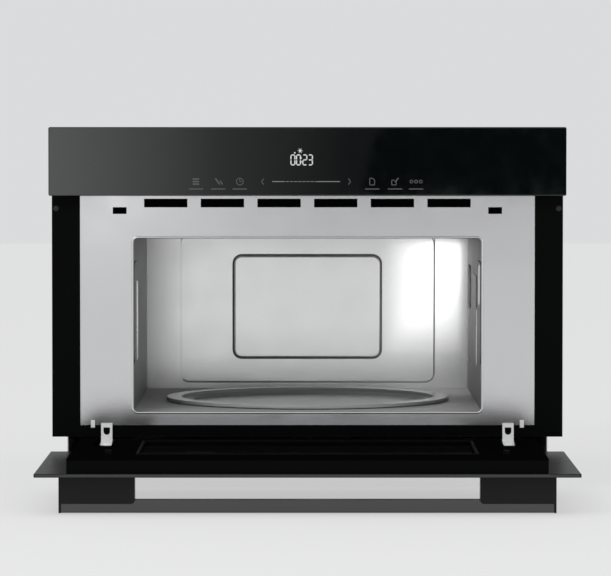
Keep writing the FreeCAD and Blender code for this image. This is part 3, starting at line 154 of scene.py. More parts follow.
class Graph:
    """The node tree of one material while it is put together."""

    def __init__(self, name: str) -> None:
        """Starts a material with a Principled shader.

        Args:
            name: name of the material.
        """
        self.material = bpy.data.materials.new(name)
        self.material.use_nodes = True
        self.tree = self.material.node_tree
        self.shader = self.tree.nodes["Principled BSDF"]

    def add(self, kind: str, **sockets: object) -> bpy.types.Node:
        """Adds a node and fills its sockets.

        Args:
            kind: type of the node, without its ShaderNode prefix.
            sockets: values or links, by socket name with spaces as underscores.

        Returns:
            The new node.
        """
        node = self.tree.nodes.new("ShaderNode" + kind)
        for name, value in sockets.items():
            self.put(node.inputs[name.replace("_", " ")], value)
        return node

    def put(self, socket: bpy.types.NodeSocket, value: object) -> None:
        """Fills one socket.

        Args:
            socket: the socket to fill.
            value: another socket to link it to, a colour or a number.
        """
        if isinstance(value, bpy.types.NodeSocket):
            self.tree.links.new(value, socket)
        elif isinstance(value, tuple) and socket.type == "RGBA":
            socket.default_value = (*value, 1.0)
        else:
            socket.default_value = value

    def set(self, **sockets: object) -> None:
        """Fills sockets of the Principled shader, named with underscores for spaces."""
        for name, value in sockets.items():
            self.put(self.shader.inputs[name.replace("_", " ")], value)

    def surface(self, shader: bpy.types.NodeSocket) -> None:
        """Makes another shader the surface of the material."""
        self.put(self.tree.nodes["Material Output"].inputs["Surface"], shader)

    def place(self, frequency: Sequence[float]) -> bpy.types.NodeSocket:
        """Object coordinates scaled by a frequency along each axis."""
        coordinates = self.add("TexCoord").outputs["Object"]
        return self.add("Mapping", Vector=coordinates, Scale=tuple(frequency)).outputs["Vector"]

    def along(self, axis: Axis) -> bpy.types.NodeSocket:
        """Object coordinate along one axis."""
        coordinates = self.add("TexCoord").outputs["Object"]
        return self.add("SeparateXYZ", Vector=coordinates).outputs[axis.value]

    def noise(self, frequency: Sequence[float], detail: float) -> bpy.types.NodeSocket:
        """Noise with a frequency per metre along each axis."""
        return self.add("TexNoise", Vector=self.place(frequency), Scale=1.0, Detail=detail).outputs["Fac"]

    def clouds(self, frequency: float, detail: float) -> bpy.types.NodeSocket:
        """Noise with the same frequency per metre along every axis."""
        return self.noise((frequency,) * 3, detail)

    def cells(self, frequency: float, random: float = 1.0) -> bpy.types.Node:
        """Voronoi texture with that many cells per metre, from even cells at 0 to loose ones at 1."""
        return self.add("TexVoronoi", Vector=self.place((frequency,) * 3), Scale=1.0, Randomness=random)

    def maths(self, operation: Operation, first: object, second: object) -> bpy.types.NodeSocket:
        """Works out a number from two others.

        Args:
            operation: what is done with them.
            first: value or link.
            second: value or link.

        Returns:
            The result.
        """
        node = self.add("Math")
        node.operation = operation.value
        self.put(node.inputs[0], first)
        self.put(node.inputs[1], second)
        return node.outputs[0]

    def span(self, value: bpy.types.NodeSocket, low: float, high: float,
             start: float = 0.3, stop: float = 0.7) -> bpy.types.NodeSocket:
        """Maps a texture value onto a span.

        Args:
            value: the value to map.
            low: result at start.
            high: result at stop.
            start: value that gives low.
            stop: value that gives high.

        Returns:
            The mapped value.
        """
        node = self.add("MapRange", Value=value, From_Min=start, From_Max=stop, To_Min=low, To_Max=high)
        return node.outputs["Result"]

    def tint(self, factor: bpy.types.NodeSocket, first: Colour, second: Colour) -> bpy.types.NodeSocket:
        """Mixes two colours.

        Args:
            factor: 0 for the first colour, 1 for the second.
            first: a colour.
            second: a colour.

        Returns:
            The mixed colour.
        """
        node = self.tree.nodes.new("ShaderNodeMix")
        node.data_type = "RGBA"
        self.put(node.inputs[MIX_FACTOR], factor)
        self.put(node.inputs[MIX_FIRST], first)
        self.put(node.inputs[MIX_SECOND], second)
        return node.outputs[MIX_RESULT]

    def bump(self, height: bpy.types.NodeSocket, strength: float, distance: float) -> None:
        """Lets a texture raise the surface a little.

        Args:
            height: texture value.
            strength: share of the full effect.
            distance: height of the relief in metres.
        """
        node = self.add("Bump", Height=height, Strength=strength, Distance=distance)
        self.put(self.shader.inputs["Normal"], node.outputs["Normal"])


# Materials that are already made, by finish
MADE: dict["Finish", bpy.types.Material] = {}


@dataclass(frozen=True)
class Finish:
    """A surface finish: its colour and how rough it is."""

    name: str
    colour: Colour
    roughness: float

    def material(self) -> bpy.types.Material:
        """Makes the material of this finish, once.

        Returns:
            The material.
        """
        if self not in MADE:
            MADE[self] = self.mix()
        return MADE[self]

    def mix(self) -> bpy.types.Material:
        """Makes the material."""
        raise NotImplementedError

    def tone(self, graph: Graph, texture: bpy.types.NodeSocket, dark: float,
             pale: float) -> bpy.types.NodeSocket:
        """The colour, varied by a texture between two factors."""
        return graph.tint(texture, shade(self.colour, dark), shade(self.colour, pale))

    def rough(self, graph: Graph, texture: bpy.types.NodeSocket, less: float, more: float,
              start: float = 0.3, stop: float = 0.7) -> bpy.types.NodeSocket:
        """The roughness, varied by a texture that runs from start to stop."""
        return graph.span(texture, self.roughness - less, self.roughness + more, start, stop)


@dataclass(frozen=True)
class BrushedMetal(Finish):
    """Metal with a fine grain in one direction and faint handling marks."""

    grain: Grain = Grain.ACROSS
    streak: float = 0.06
    relief: float = 0.05
    marks: float = 11.0

    def mix(self) -> bpy.types.Material:
        """Makes the grain from stretched noise, and the marks from clouds.

        Returns:
            The material.
        """
        graph = Graph(self.name)
        lines = graph.noise(self.grain.value, detail=4.0)
        worn = graph.maths(Operation.TIMES, lines, graph.clouds(self.marks, detail=2.0))
        graph.set(
            Metallic=1.0,
            Base_Color=self.tone(graph, lines, dark=1.0 - self.streak, pale=1.0 + self.streak),
            Roughness=self.rough(graph, worn, less=0.05, more=0.07, start=0.1, stop=0.4),
            Anisotropic=0.4,
        )
        graph.bump(lines, strength=self.relief, distance=0.00008)
        return graph.material


@dataclass(frozen=True)
class SatinMetal(Finish):
    """Smooth metal with an even satin surface and faint smudges."""

    metallic: float = 1.0
    smudges: float = 25.0

    def satin(self) -> Graph:
        """Makes the smudges from soft clouds in the colour and the roughness.

        Returns:
            The node tree.
        """
        graph = Graph(self.name)
        smudges = graph.clouds(self.smudges, detail=3.0)
        graph.set(
            Metallic=self.metallic,
            Base_Color=self.tone(graph, smudges, dark=0.96, pale=1.0),
            Roughness=self.rough(graph, smudges, less=0.02, more=0.03),
        )
        return graph

    def mix(self) -> bpy.types.Material:
        """Makes the plain satin metal."""
        return self.satin().material


@dataclass(frozen=True)
class RolledSheet(SatinMetal):
    """Satin sheet that curves back a little towards its lower edge, from a level in metres."""

    roll_from: float = 0.095
    roll: float = 0.5

    def mix(self) -> bpy.types.Material:
        """Curves the satin metal by a height that falls off with the square of the way below that level.

        Returns:
            The material.
        """
        graph = self.satin()
        below = graph.span(graph.along(Axis.UPRIGHT), self.roll_from, 0.0, start=0.0, stop=self.roll_from)
        square = graph.maths(Operation.POWER, below, 2.0)
        fall = graph.maths(Operation.TIMES, square, -self.roll / 2)
        graph.bump(fall, strength=1.0, distance=1.0)
        return graph.material


@dataclass(frozen=True)
class ZincSheet(Finish):
    """Galvanised sheet with a spangle of crystals."""

    crystal: float = 240.0
    stains: float = 14.0

    def mix(self) -> bpy.types.Material:
        """Makes the spangle from cells of slightly different greys.

        Returns:
            The material.
        """
        graph = Graph(self.name)
        grey = graph.add("RGBToBW", Color=graph.cells(self.crystal).outputs["Color"]).outputs[0]
        stains = graph.clouds(self.stains, detail=3.0)
        graph.set(
            Metallic=1.0,
            Base_Color=self.tone(graph, grey, dark=0.9, pale=1.07),
            Roughness=self.rough(graph, stains, less=0.02, more=0.02),
        )
        graph.bump(grey, strength=0.05, distance=0.00005)
        return graph.material


@dataclass(frozen=True)
class BlackGlass(Finish):
    """Polished black glass with a breath of dust."""

    specular: float = 0.5
    dust: float = 60.0

    def mix(self) -> bpy.types.Material:
        """Makes a deep gloss whose roughness varies very slightly.

        Returns:
            The material.
        """
        graph = Graph(self.name)
        dust = graph.clouds(self.dust, detail=5.0)
        graph.set(
            Base_Color=self.tone(graph, dust, dark=1.0, pale=1.35),
            Roughness=self.rough(graph, dust, less=0.0, more=0.03),
            IOR=1.5,
            Specular_IOR_Level=self.specular,
        )
        return graph.material


@dataclass(frozen=True)
class ClearGlass(Finish):
    """Clear glass with a faint tint and the slight ripple of pressing."""

    ripple: float = 0.02
    specular: float = 0.5
    clear: float = 1.0
    waves: float = 45.0

    def mix(self) -> bpy.types.Material:
        """Makes a transmitting glass.

        Returns:
            The material.
        """
        graph = Graph(self.name)
        waves = graph.clouds(self.waves, detail=2.0)
        graph.set(
            Base_Color=self.tone(graph, waves, dark=1.0, pale=1.02),
            Roughness=self.rough(graph, waves, less=0.0, more=0.02),
            Transmission_Weight=self.clear,
            IOR=1.47,
            Specular_IOR_Level=self.specular,
        )
        graph.bump(waves, strength=self.ripple, distance=0.0004)
        return graph.material


@dataclass(frozen=True)
class MouldedPlastic(Finish):
    """Moulded plastic with a fine spark-eroded texture."""

    texture: float = 1500.0
    relief: float = 0.12
    specular: float = 0.5
    flow: float = 18.0

    def mix(self) -> bpy.types.Material:
        """Makes the texture from fine noise over broad flow marks.

        Returns:
            The material.
        """
        graph = Graph(self.name)
        pits = graph.clouds(self.texture, detail=3.0)
        flow = graph.clouds(self.flow, detail=2.0)
        graph.set(
            Base_Color=self.tone(graph, flow, dark=0.92, pale=1.08),
            Roughness=self.rough(graph, pits, less=0.05, more=0.06),
            Specular_IOR_Level=self.specular,
        )
        graph.bump(pits, strength=self.relief, distance=0.00006)
        return graph.material


@dataclass(frozen=True)
class PowderCoat(Finish):
    """Powder-coated steel with a slight orange peel."""

    peel: float = 420.0
    specular: float = 0.5
    fading: float = 8.0

    def mix(self) -> bpy.types.Material:
        """Makes the peel from soft noise.

        Returns:
            The material.
        """
        graph = Graph(self.name)
        peel = graph.clouds(self.peel, detail=2.0)
        fading = graph.clouds(self.fading, detail=2.0)
        graph.set(
            Base_Color=self.tone(graph, fading, dark=0.9, pale=1.12),
            Roughness=self.rough(graph, peel, less=0.04, more=0.05),
            Specular_IOR_Level=self.specular,
        )
        graph.bump(peel, strength=0.1, distance=0.00008)
        return graph.material


@dataclass(frozen=True)
class CircuitBoard(Finish):
    """Circuit board with tracks under its solder mask."""

    tracks: float = 220.0

    def mix(self) -> bpy.types.Material:
        """Makes the tracks from the edges of square cells.

        Returns:
            The material.
        """
        graph = Graph(self.name)
        texture = graph.cells(self.tracks, random=0.7)
        texture.distance = "MANHATTAN"
        tracks = graph.span(texture.outputs["Distance"], 0.0, 1.0, start=0.25, stop=0.3)
        graph.set(
            Base_Color=self.tone(graph, tracks, dark=1.0, pale=1.7),
            Roughness=self.rough(graph, tracks, less=0.0, more=0.1, start=0.0, stop=1.0),
        )
        graph.bump(tracks, strength=0.2, distance=0.00005)
        return graph.material


@dataclass(frozen=True)
class Layered(Finish):
    """Stacked laminations or wound wire: bands along one axis."""

    band: Axis = Axis.DEEP
    metallic: float = 0.0
    pitch: float = 900.0

    def mix(self) -> bpy.types.Material:
        """Makes the bands from a wave texture.

        Returns:
            The material.
        """
        graph = Graph(self.name)
        wave = graph.add("TexWave", Vector=graph.place((1.0, 1.0, 1.0)), Scale=self.pitch, Distortion=0.4)
        wave.bands_direction = self.band.value
        bands = wave.outputs["Fac"]
        graph.set(
            Metallic=self.metallic,
            Base_Color=self.tone(graph, bands, dark=0.6, pale=1.1),
            Roughness=self.rough(graph, bands, less=0.0, more=0.12, start=0.0, stop=1.0),
        )
        graph.bump(bands, strength=0.3, distance=0.0002)
        return graph.material


@dataclass(frozen=True)
class Perforated(Finish):
    """Painted steel screen with rows of small round holes."""

    holes: float = 330.0
    hole_rough: float = 0.8

    def mix(self) -> bpy.types.Material:
        """Makes the holes from even cells.

        Returns:
            The material.
        """
        graph = Graph(self.name)
        distance = graph.cells(self.holes, random=0.0).outputs["Distance"]
        edge = graph.span(distance, 0.0, 1.0, start=0.33, stop=0.37)
        graph.set(
            Base_Color=self.tone(graph, edge, dark=0.1, pale=1.0),
            Roughness=graph.span(edge, self.hole_rough, self.roughness, start=0.0, stop=1.0),
        )
        graph.bump(edge, strength=0.6, distance=0.0003)
        return graph.material


@dataclass(frozen=True)
class Glow(Finish):
    """Lit mark or bulb that gives its own light; the printed signs and slider glow as painted light."""

    strength: float = 1.0
    mottle: float = 300.0

    def mix(self) -> bpy.types.Material:
        """Makes an emitting surface with a slightly uneven body.

        Returns:
            The material.
        """
        graph = Graph(self.name)
        mottle = graph.clouds(self.mottle, detail=2.0)
        graph.set(
            Base_Color=self.tone(graph, mottle, dark=0.05, pale=0.09),
            Roughness=self.roughness,
            Emission_Color=self.colour,
            Emission_Strength=self.strength,
        )
        return graph.material


@dataclass(frozen=True)
class Palette:
    """Every finish on the oven, with its colour and roughness first."""

    panel_glass: Finish = BlackGlass("panel_glass", (0.0012, 0.0025, 0.0026), 0.02)
    door_glass: Finish = BlackGlass("door_glass_black", (0.002, 0.0022, 0.0023), 0.03, specular=0.4)
    door_print: Finish = PowderCoat("door_glass_print", (0.0025, 0.0026, 0.0027), 0.4, specular=0.1)
    # lighter than the glass: partly the glass edge's own tone, partly painted highlight
    edge_painted_highlight: Finish = BlackGlass("glass_edge_painted_highlight", (0.03, 0.031, 0.031), 0.15, specular=0.4)
    inner_window: Finish = BlackGlass("smoked_window", (0.002, 0.002, 0.0022), 0.015, specular=0.15)
    dish_glass: Finish = ClearGlass("pressed_dish_glass", (0.52, 0.53, 0.53), 0.2, specular=0.08, clear=0.35)
    lens_glass: Finish = ClearGlass("lamp_lens_glass", (0.6, 0.6, 0.58), 0.55)
    bulb_glass: Finish = Glow("lit_bulb", (1.0, 0.93, 0.8), 0.3, strength=1.0)
    flange: Finish = PowderCoat("flange_black_coat", (0.0014, 0.0016, 0.0017), 0.4, specular=0.04)
    door_pan: Finish = PowderCoat("door_pan_coat", (0.0016, 0.0017, 0.0018), 0.45, specular=0.04)
    front_steel: Finish = RolledSheet("front_plate_steel", (0.68, 0.68, 0.69), 0.17)
    lip_steel: Finish = SatinMetal("rolled_lip_steel", (0.74, 0.74, 0.74), 0.3)
    # ribs far paler than the wall steel they are pressed from: painted highlight
    rib_painted_highlight: Finish = SatinMetal("rib_steel_painted_highlight", (0.95, 0.95, 0.95), 0.28, metallic=0.7)
    # side walls and ceiling: a dark, dull copy of the cavity steel, their shade painted into the colour
    wall_steel_painted_shade: Finish = SatinMetal("cavity_wall_painted_shade", (0.18, 0.18, 0.18), 0.45, metallic=0.22)
    rear_steel: Finish = SatinMetal("cavity_rear_steel", (0.98, 0.98, 0.98), 0.215, metallic=0.9)
    floor_enamel: Finish = PowderCoat("cavity_floor_enamel", (0.52, 0.52, 0.52), 0.45, specular=0.04)
    # dark strip laid in the rear wall's groove: painted shade
    seam: Finish = PowderCoat("painted_groove_shade", (0.2, 0.2, 0.2), 0.5, specular=0.2)
    # grey strip along the rear step's edge: painted shade
    step_painted_shade: Finish = PowderCoat("painted_step_shade", (0.46, 0.46, 0.46), 0.45, specular=0.3)
    zinc_plate: Finish = SatinMetal("zinc_plated_steel", (0.95, 0.95, 0.95), 0.5, metallic=0.4)
    screw_steel: Finish = BrushedMetal(
        "screw_head_steel", (0.2, 0.2, 0.2), 0.34, Grain.CLOUDED, streak=0.08, relief=0.02)
    casing: Finish = ZincSheet("casing_sheet", (0.56, 0.58, 0.59), 0.42)
    tin: Finish = BrushedMetal("tinned_can", (0.72, 0.73, 0.74), 0.3, streak=0.05, relief=0.04)
    handle_bar: Finish = BrushedMetal(
        "handle_bar_black_steel", (0.1, 0.1, 0.1), 0.34, streak=0.1, relief=0.06)
    handle_post: Finish = MouldedPlastic(
        "handle_post_black", (0.007, 0.007, 0.007), 0.4, texture=1200.0, relief=0.08, specular=0.2)
    black_plastic: Finish = MouldedPlastic("black_moulding", (0.01, 0.01, 0.01), 0.5, specular=0.35)
    vent_black: Finish = MouldedPlastic("vent_screen_black", (0.0015, 0.0015, 0.0015), 0.7, specular=0.05)
    choke_black: Finish = MouldedPlastic(
        "choke_cover_black", (0.002, 0.002, 0.0021), 0.55, texture=1400.0, relief=0.1, specular=0.0)
    white_plastic: Finish = MouldedPlastic("white_moulding", (0.82, 0.82, 0.8), 0.42)
    grey_plastic: Finish = MouldedPlastic("grey_moulding", (0.32, 0.32, 0.33), 0.5)
    mica: Finish = MouldedPlastic(
        "mica_sheet", (0.17, 0.17, 0.165), 0.4, texture=300.0, relief=0.1, specular=0.3)
    board: Finish = CircuitBoard("circuit_board_green", (0.02, 0.12, 0.05), 0.35)
    iron: Finish = Layered(
        "iron_laminations", (0.2, 0.19, 0.18), 0.45, Axis.DEEP, metallic=0.8, pitch=1100.0)
    copper: Finish = Layered(
        "enamelled_copper", (0.55, 0.22, 0.08), 0.3, Axis.UPRIGHT, metallic=0.8, pitch=700.0)
    screen: Finish = Perforated("door_screen_holes", (0.02, 0.02, 0.02), 0.5)
    digits: Finish = Glow("display_light", (1.0, 1.0, 1.0), 0.4, strength=0.6)
    # printed signs and slider shown by a faint glow of their own: painted light
    icons: Finish = Glow("icon_print_painted_glow", (0.75, 0.78, 0.78), 0.4, strength=0.045)
    slider: Finish = Glow("slider_print_painted_glow", (0.85, 0.88, 0.88), 0.4, strength=0.2)


PALETTE = Palette()

DRESS: dict[Finish, tuple[str, ...]] = {
    PALETTE.panel_glass: ("control_glass",),
    PALETTE.door_glass: ("door_glass",),
    PALETTE.inner_window: ("door_window",),
    PALETTE.dish_glass: ("glass_turntable",),
    PALETTE.lens_glass: ("lamp_lens",),
    PALETTE.bulb_glass: ("lamp_bulb",),
    PALETTE.flange: ("front_frame",),
    PALETTE.door_pan: ("door_inner_frame",),
    PALETTE.front_steel: ("front_plate",),
    # the side walls and ceiling take the darkened cavity steel: painted shade
    PALETTE.wall_steel_painted_shade: ("cavity_left_wall", "cavity_right_wall", "cavity_ceiling"),
    PALETTE.rear_steel: ("cavity_rear_wall",),
    PALETTE.floor_enamel: ("cavity_floor",),
    PALETTE.zinc_plate: ("hinge_brackets", "door_hinge_leaves", "capacitor_clamp", "turntable_motor"),
    PALETTE.screw_steel: ("case_screws", "handle_screws", "hinge_pins"),
    PALETTE.casing: ("base_plate", "side_panel_left", "side_panel_right", "top_cover", "rear_panel",
                     "component_tray", "waveguide", "lamp_housing"),
    PALETTE.tin: ("magnetron", "capacitor"),
    PALETTE.handle_bar: ("handle_bar",),
    PALETTE.handle_post: ("handle_posts",),
    PALETTE.black_plastic: ("control_carrier", "display_module", "cord_gland", "interlock_switches",
                            "diode", "fan_impeller"),
    PALETTE.vent_black: ("interlock_housings", "switch_plunger_left", "switch_plunger_right",
                         "latch_hook_left", "latch_hook_right"),
    PALETTE.choke_black: ("choke_cover",),
    PALETTE.white_plastic: ("roller_ring", "roller_1", "roller_2", "roller_3", "turntable_coupler",
                            "door_buffers"),
    PALETTE.grey_plastic: ("fan_shroud",),
    PALETTE.mica: ("waveguide_cover",),
    PALETTE.board: ("control_board", "power_board"),
    PALETTE.iron: ("transformer_core", "fan_motor"),
    PALETTE.copper: ("transformer_windings",),
    PALETTE.screen: ("door_screen",),
}


def dress_nodes() -> None:
    """Gives every solid of the frame its finish."""
    for finish, names in DRESS.items():
        for name in names:
            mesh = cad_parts[name].data
            mesh.materials.clear()
            mesh.materials.append(finish.material())
            for face in mesh.polygons:
                face.material_index = 0
    left = sorted(set(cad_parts) - {name for names in DRESS.values() for name in names})
    if left:
        raise ValueError("these solids have no finish: %s" % left)


def add_piece(name: str, mesh: bmesh.types.BMesh, finish: Finish, body: str,
              smooth: bool = False) -> bpy.types.Object:
    """Turns a mesh into a piece that rides on a body.

    Args:
        name: name of the piece.
        mesh: its geometry, in the frame of the part. It is freed here.
        finish: its finish.
        body: body that it moves with.
        smooth: whether its faces are shaded smooth.

    Returns:
        The new object.
    """
    bmesh.ops.recalc_face_normals(mesh, faces=mesh.faces)
    data = bpy.data.meshes.new(name)
    mesh.to_mesh(data)
    mesh.free()
    data.materials.append(finish.material())
    for face in data.polygons:
        face.use_smooth = smooth
    piece = bpy.data.objects.new(name, data)
    bpy.context.scene.collection.objects.link(piece)
    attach(piece, body)
    LOG.info("piece %s on %s: %d faces", name, body, len(data.polygons))
    return piece


def extrude_polygons(outlines: Iterable[Sequence[Flat]], near: float, far: float,
                     plane: Plane = Plane.FRONT) -> bmesh.types.BMesh:
    """Thin plates cut to given outlines.

    Args:
        outlines: places on the plane, in metres.
        near: where their first faces lie along the plane's third axis.
        far: where their other faces lie.
        plane: plane of the outlines.

    Returns:
        A mesh with one closed plate per outline.
    """
    mesh = bmesh.new()
    for outline in outlines:
        first = [mesh.verts.new(plane.point(across, up, near)) for across, up in outline]
        last = [mesh.verts.new(plane.point(across, up, far)) for across, up in outline]
        mesh.faces.new(first)
        mesh.faces.new(list(reversed(last)))
        for i in range(len(first)):
            j = (i + 1) % len(first)
            mesh.faces.new((first[i], last[i], last[j], first[j]))
    return mesh


def rectangle(across: Flat, up: Flat) -> list[Flat]:
    """The four corners of a rectangle between two pairs of limits."""
    return [(across[0], up[0]), (across[1], up[0]), (across[1], up[1]), (across[0], up[1])]


def circle(centre: Flat, radius: float, steps: int) -> list[Flat]:
    """Evenly spaced points on a circle."""
    angles = [math.tau * i / steps for i in range(steps)]
    return [(centre[0] + radius * math.cos(a), centre[1] + radius * math.sin(a)) for a in angles]


def sweep(path: Sequence[Vector], sides: Sequence[tuple[Vector, Vector]], profile: Sequence[Flat],
          closed: bool = True) -> bmesh.types.BMesh:
    """A profile carried along a path.

    Args:
        path: points of the path.
        sides: for each point, the two directions that the profile is drawn along.
        profile: outline of the section, in metres.
        closed: whether the path joins up with its start.

    Returns:
        The swept mesh, with its ends capped when the path is open.
    """
    mesh = bmesh.new()
    rings = []
    for point, (across, out) in zip(path, sides):
        rings.append([mesh.verts.new(point + across * u + out * v) for u, v in profile])
    count = len(rings) if closed else len(rings) - 1
    for i in range(count):
        ring, following = rings[i], rings[(i + 1) % len(rings)]
        for j in range(len(profile)):
            k = (j + 1) % len(profile)
            mesh.faces.new((ring[j], ring[k], following[k], following[j]))
    if not closed:
        mesh.faces.new(list(reversed(rings[0])))
        mesh.faces.new(rings[-1])
    return mesh


def rounded_loop(width: float, height: float, corner: float, steps: int = 8) -> list[tuple[Flat, Flat]]:
    """Points round a rectangle with round corners, centred on zero.

    Args:
        width: full width.
        height: full height.
        corner: radius of the corners.
        steps: divisions of each corner.

    Returns:
        Pairs of a point and its outward direction.
    """
    loop = []
    for turn in range(4):
        centre_x = (width / 2 - corner) * (1 if turn in (0, 3) else -1)
        centre_y = (height / 2 - corner) * (1 if turn in (0, 1) else -1)
        for step in range(steps + 1):
            angle = math.pi / 2 * (turn + step / steps)
            out = (math.cos(angle), math.sin(angle))
            loop.append(((centre_x + corner * out[0], centre_y + corner * out[1]), out))
    return loop


def half_round(radius: float, steps: int) -> list[Flat]:
    """Section of a half-round bead."""
    angles = [math.radians(180.0 * i / steps) for i in range(steps + 1)]
    return [(radius * math.cos(angle), radius * math.sin(angle)) for angle in angles]


def frame_bead(plane: Plane, across: Flat, up: Flat, corner: float, level: float, out: int,
               profile: Sequence[Flat]) -> bmesh.types.BMesh:
    """A profile carried round a rectangle with round corners.

    Args:
        plane: plane of the rectangle.
        across: limits of the rectangle along the plane's first axis.
        up: limits along its second axis.
        corner: radius of the corners.
        level: place of the plane along its third axis.
        out: sign of the way along that axis that the profile stands out.
        profile: outline of the section, as outward and out of the plane.

    Returns:
        The closed bead.
    """
    path, sides = [], []
    for (x, y), way in rounded_loop(across[1] - across[0], up[1] - up[0], corner):
        path.append(plane.point(sum(across) / 2 + x, sum(up) / 2 + y, level))
        sides.append((plane.point(*way, 0.0), plane.point(0.0, 0.0, out)))
    return sweep(path, sides, profile)


def tapered_bead(start: Vector, end: Vector, across: Vector, out: Vector, wide: float, high: float,
                 steps: int = 8) -> bmesh.types.BMesh:
    """A pressed bead: a low arch that tapers off at both ends.

    Args:
        start: first end of its centre line.
        end: last end of its centre line.
        across: direction of its width.
        out: direction that it stands out.
        wide: its width.
        high: its height.
        steps: divisions of the arch.

    Returns:
        Its mesh.
    """
    arch = [(wide * (i / steps - 0.5), high * math.sin(math.pi * i / steps)) for i in range(steps + 1)]
    run = wide / (end - start).length
    stations = (0.0, run / 3, run, 0.5, 1.0 - run, 1.0 - run / 3, 1.0)
    swells = (0.05, 0.7, 1.0, 1.0, 1.0, 0.7, 0.05)
    path = [start.lerp(end, station) for station in stations]
    sides = [(across * swell, out * swell) for swell in swells]
    return sweep(path, sides, arch, False)


def turned_rings(mesh: bmesh.types.BMesh, centre: Vector, out: Vector, levels: Sequence[Flat],
                 spokes: int = 24) -> list[list[bmesh.types.BMVert]]:
    """The wall of a turned form.

    Args:
        mesh: where it is added.
        centre: middle of its seat.
        out: direction of its axis.
        levels: radius and height of each ring.
        spokes: divisions of a ring.

    Returns:
        The rings, first to last.
    """
    turn = out.to_track_quat("Z", "Y").to_matrix()
    rings = []
    for radius, rise in levels:
        places = [Vector((x, y, rise)) for x, y in circle((0.0, 0.0), radius, spokes)]
        rings.append([mesh.verts.new(centre + turn @ place) for place in places])
    for ring, following in zip(rings, rings[1:]):
        for i in range(spokes):
            j = (i + 1) % spokes
            mesh.faces.new((ring[i], ring[j], following[j], following[i]))
    return rings


def turned_form(mesh: bmesh.types.BMesh, centre: Vector, out: Vector, levels: Sequence[Flat],
                spokes: int = 24) -> None:
    """A turned form with its seat and its top closed.

    Args:
        mesh: where it is added.
        centre: middle of its seat.
        out: direction of its axis.
        levels: radius and height of each ring.
        spokes: divisions of a ring.
    """
    rings = turned_rings(mesh, centre, out, levels, spokes)
    mesh.faces.new(list(reversed(rings[0])))
    mesh.faces.new(rings[-1])


@dataclass
class MarkSheet:
    """Marks drawn on the panel, in millimetres from the middle of the front and from the base."""

    outlines: list[list[Flat]]

    def line(self, first: Flat, last: Flat, width: float) -> None:
        """Draws a straight stroke.

        Args:
            first: where it starts.
            last: where it ends.
            width: its width.
        """
        start, end = Vector(first), Vector(last)
        along = (end - start).normalized()
        side = Vector((-along.y, along.x)) * width / 2
        corners = (start - side, end - side, end + side, start + side)
        self.outlines.append([(corner.x, corner.y) for corner in corners])

    def path(self, points: Sequence[Flat], width: float) -> None:
        """Draws strokes from each point to the next."""
        for first, last in zip(points, points[1:]):
            self.line(first, last, width)

    def disc(self, centre: Flat, radius: float, steps: int = 20) -> None:
        """Draws a filled disc."""
        self.outlines.append(circle(centre, radius, steps))

    def ring(self, centre: Flat, radius: float, width: float, steps: int) -> None:
        """Draws a circle as short strokes."""
        points = circle(centre, radius, steps)
        self.path(points + points[:1], width)

    def piece(self, name: str, finish: Finish, front: float, proud: float) -> bpy.types.Object:
        """Makes the drawn marks as one thin raised print.

        Args:
            name: name of the piece.
            finish: its finish.
            front: Y of the surface that carries it.
            proud: how far it stands out.

        Returns:
            The new object.
        """
        scaled = [[(x * MM, z * MM) for x, z in outline] for outline in self.outlines]
        mesh = extrude_polygons(scaled, front - proud, front)
        return add_piece(name, mesh, finish, "chassis")


# Lit bars of each digit, lettered clockwise from the top, with g across the middle
SEGMENTS: dict[str, str] = {
    "0": "abcdef", "1": "bc", "2": "abged", "3": "abgcd", "4": "fgbc",
    "5": "afgcd", "6": "afgedc", "7": "abc", "8": "abcdefg", "9": "abcdfg"}

# Width of the thin strokes of the touch signs, in millimetres
THIN = 0.85
# Strokes of the touch signs in millimetres: a width, and points as X and height over the signs' line
SIGN_STROKES: tuple[tuple[float, tuple[Flat, ...]], ...] = (
    (1.6, ((-131.8, -2.9), (-124.4, -2.9))),
    (1.6, ((-131.8, 0.0), (-124.4, 0.0))),
    (1.6, ((-131.8, 2.9), (-124.4, 2.9))),
    (1.5, ((-105.6, 3.6), (-100.6, -3.4))),
    (1.2, ((-100.2, 1.2), (-97.4, -3.4))),
    (THIN, ((-77.6, 2.7), (-77.6, 0.0), (-75.6, 0.0))),
    (THIN, ((-50.1, 3.4), (-52.7, 0.0), (-50.1, -3.4))),
    (THIN, ((47.0, 3.4), (49.6, 0.0), (47.0, -3.4))),
    (THIN, ((71.6, -3.8), (77.2, -3.8), (77.2, 1.6), (75.0, 3.8), (71.6, 3.8), (71.6, -3.8))),
    (THIN, ((102.0, 1.0), (102.0, -3.8), (96.8, -3.8), (96.8, 1.6), (100.0, 1.6))),
    (1.2, ((100.4, -0.6), (104.6, 4.2))),
)
# Rings of the touch signs in millimetres: X, radius, width of the stroke and number of short strokes
SIGN_RINGS: tuple[tuple[float, float, float, int], ...] = (
    (-77.6, 3.9, THIN, 24), (119.4, 1.7, THIN, 14), (124.8, 1.7, THIN, 14), (130.2, 1.7, THIN, 14))


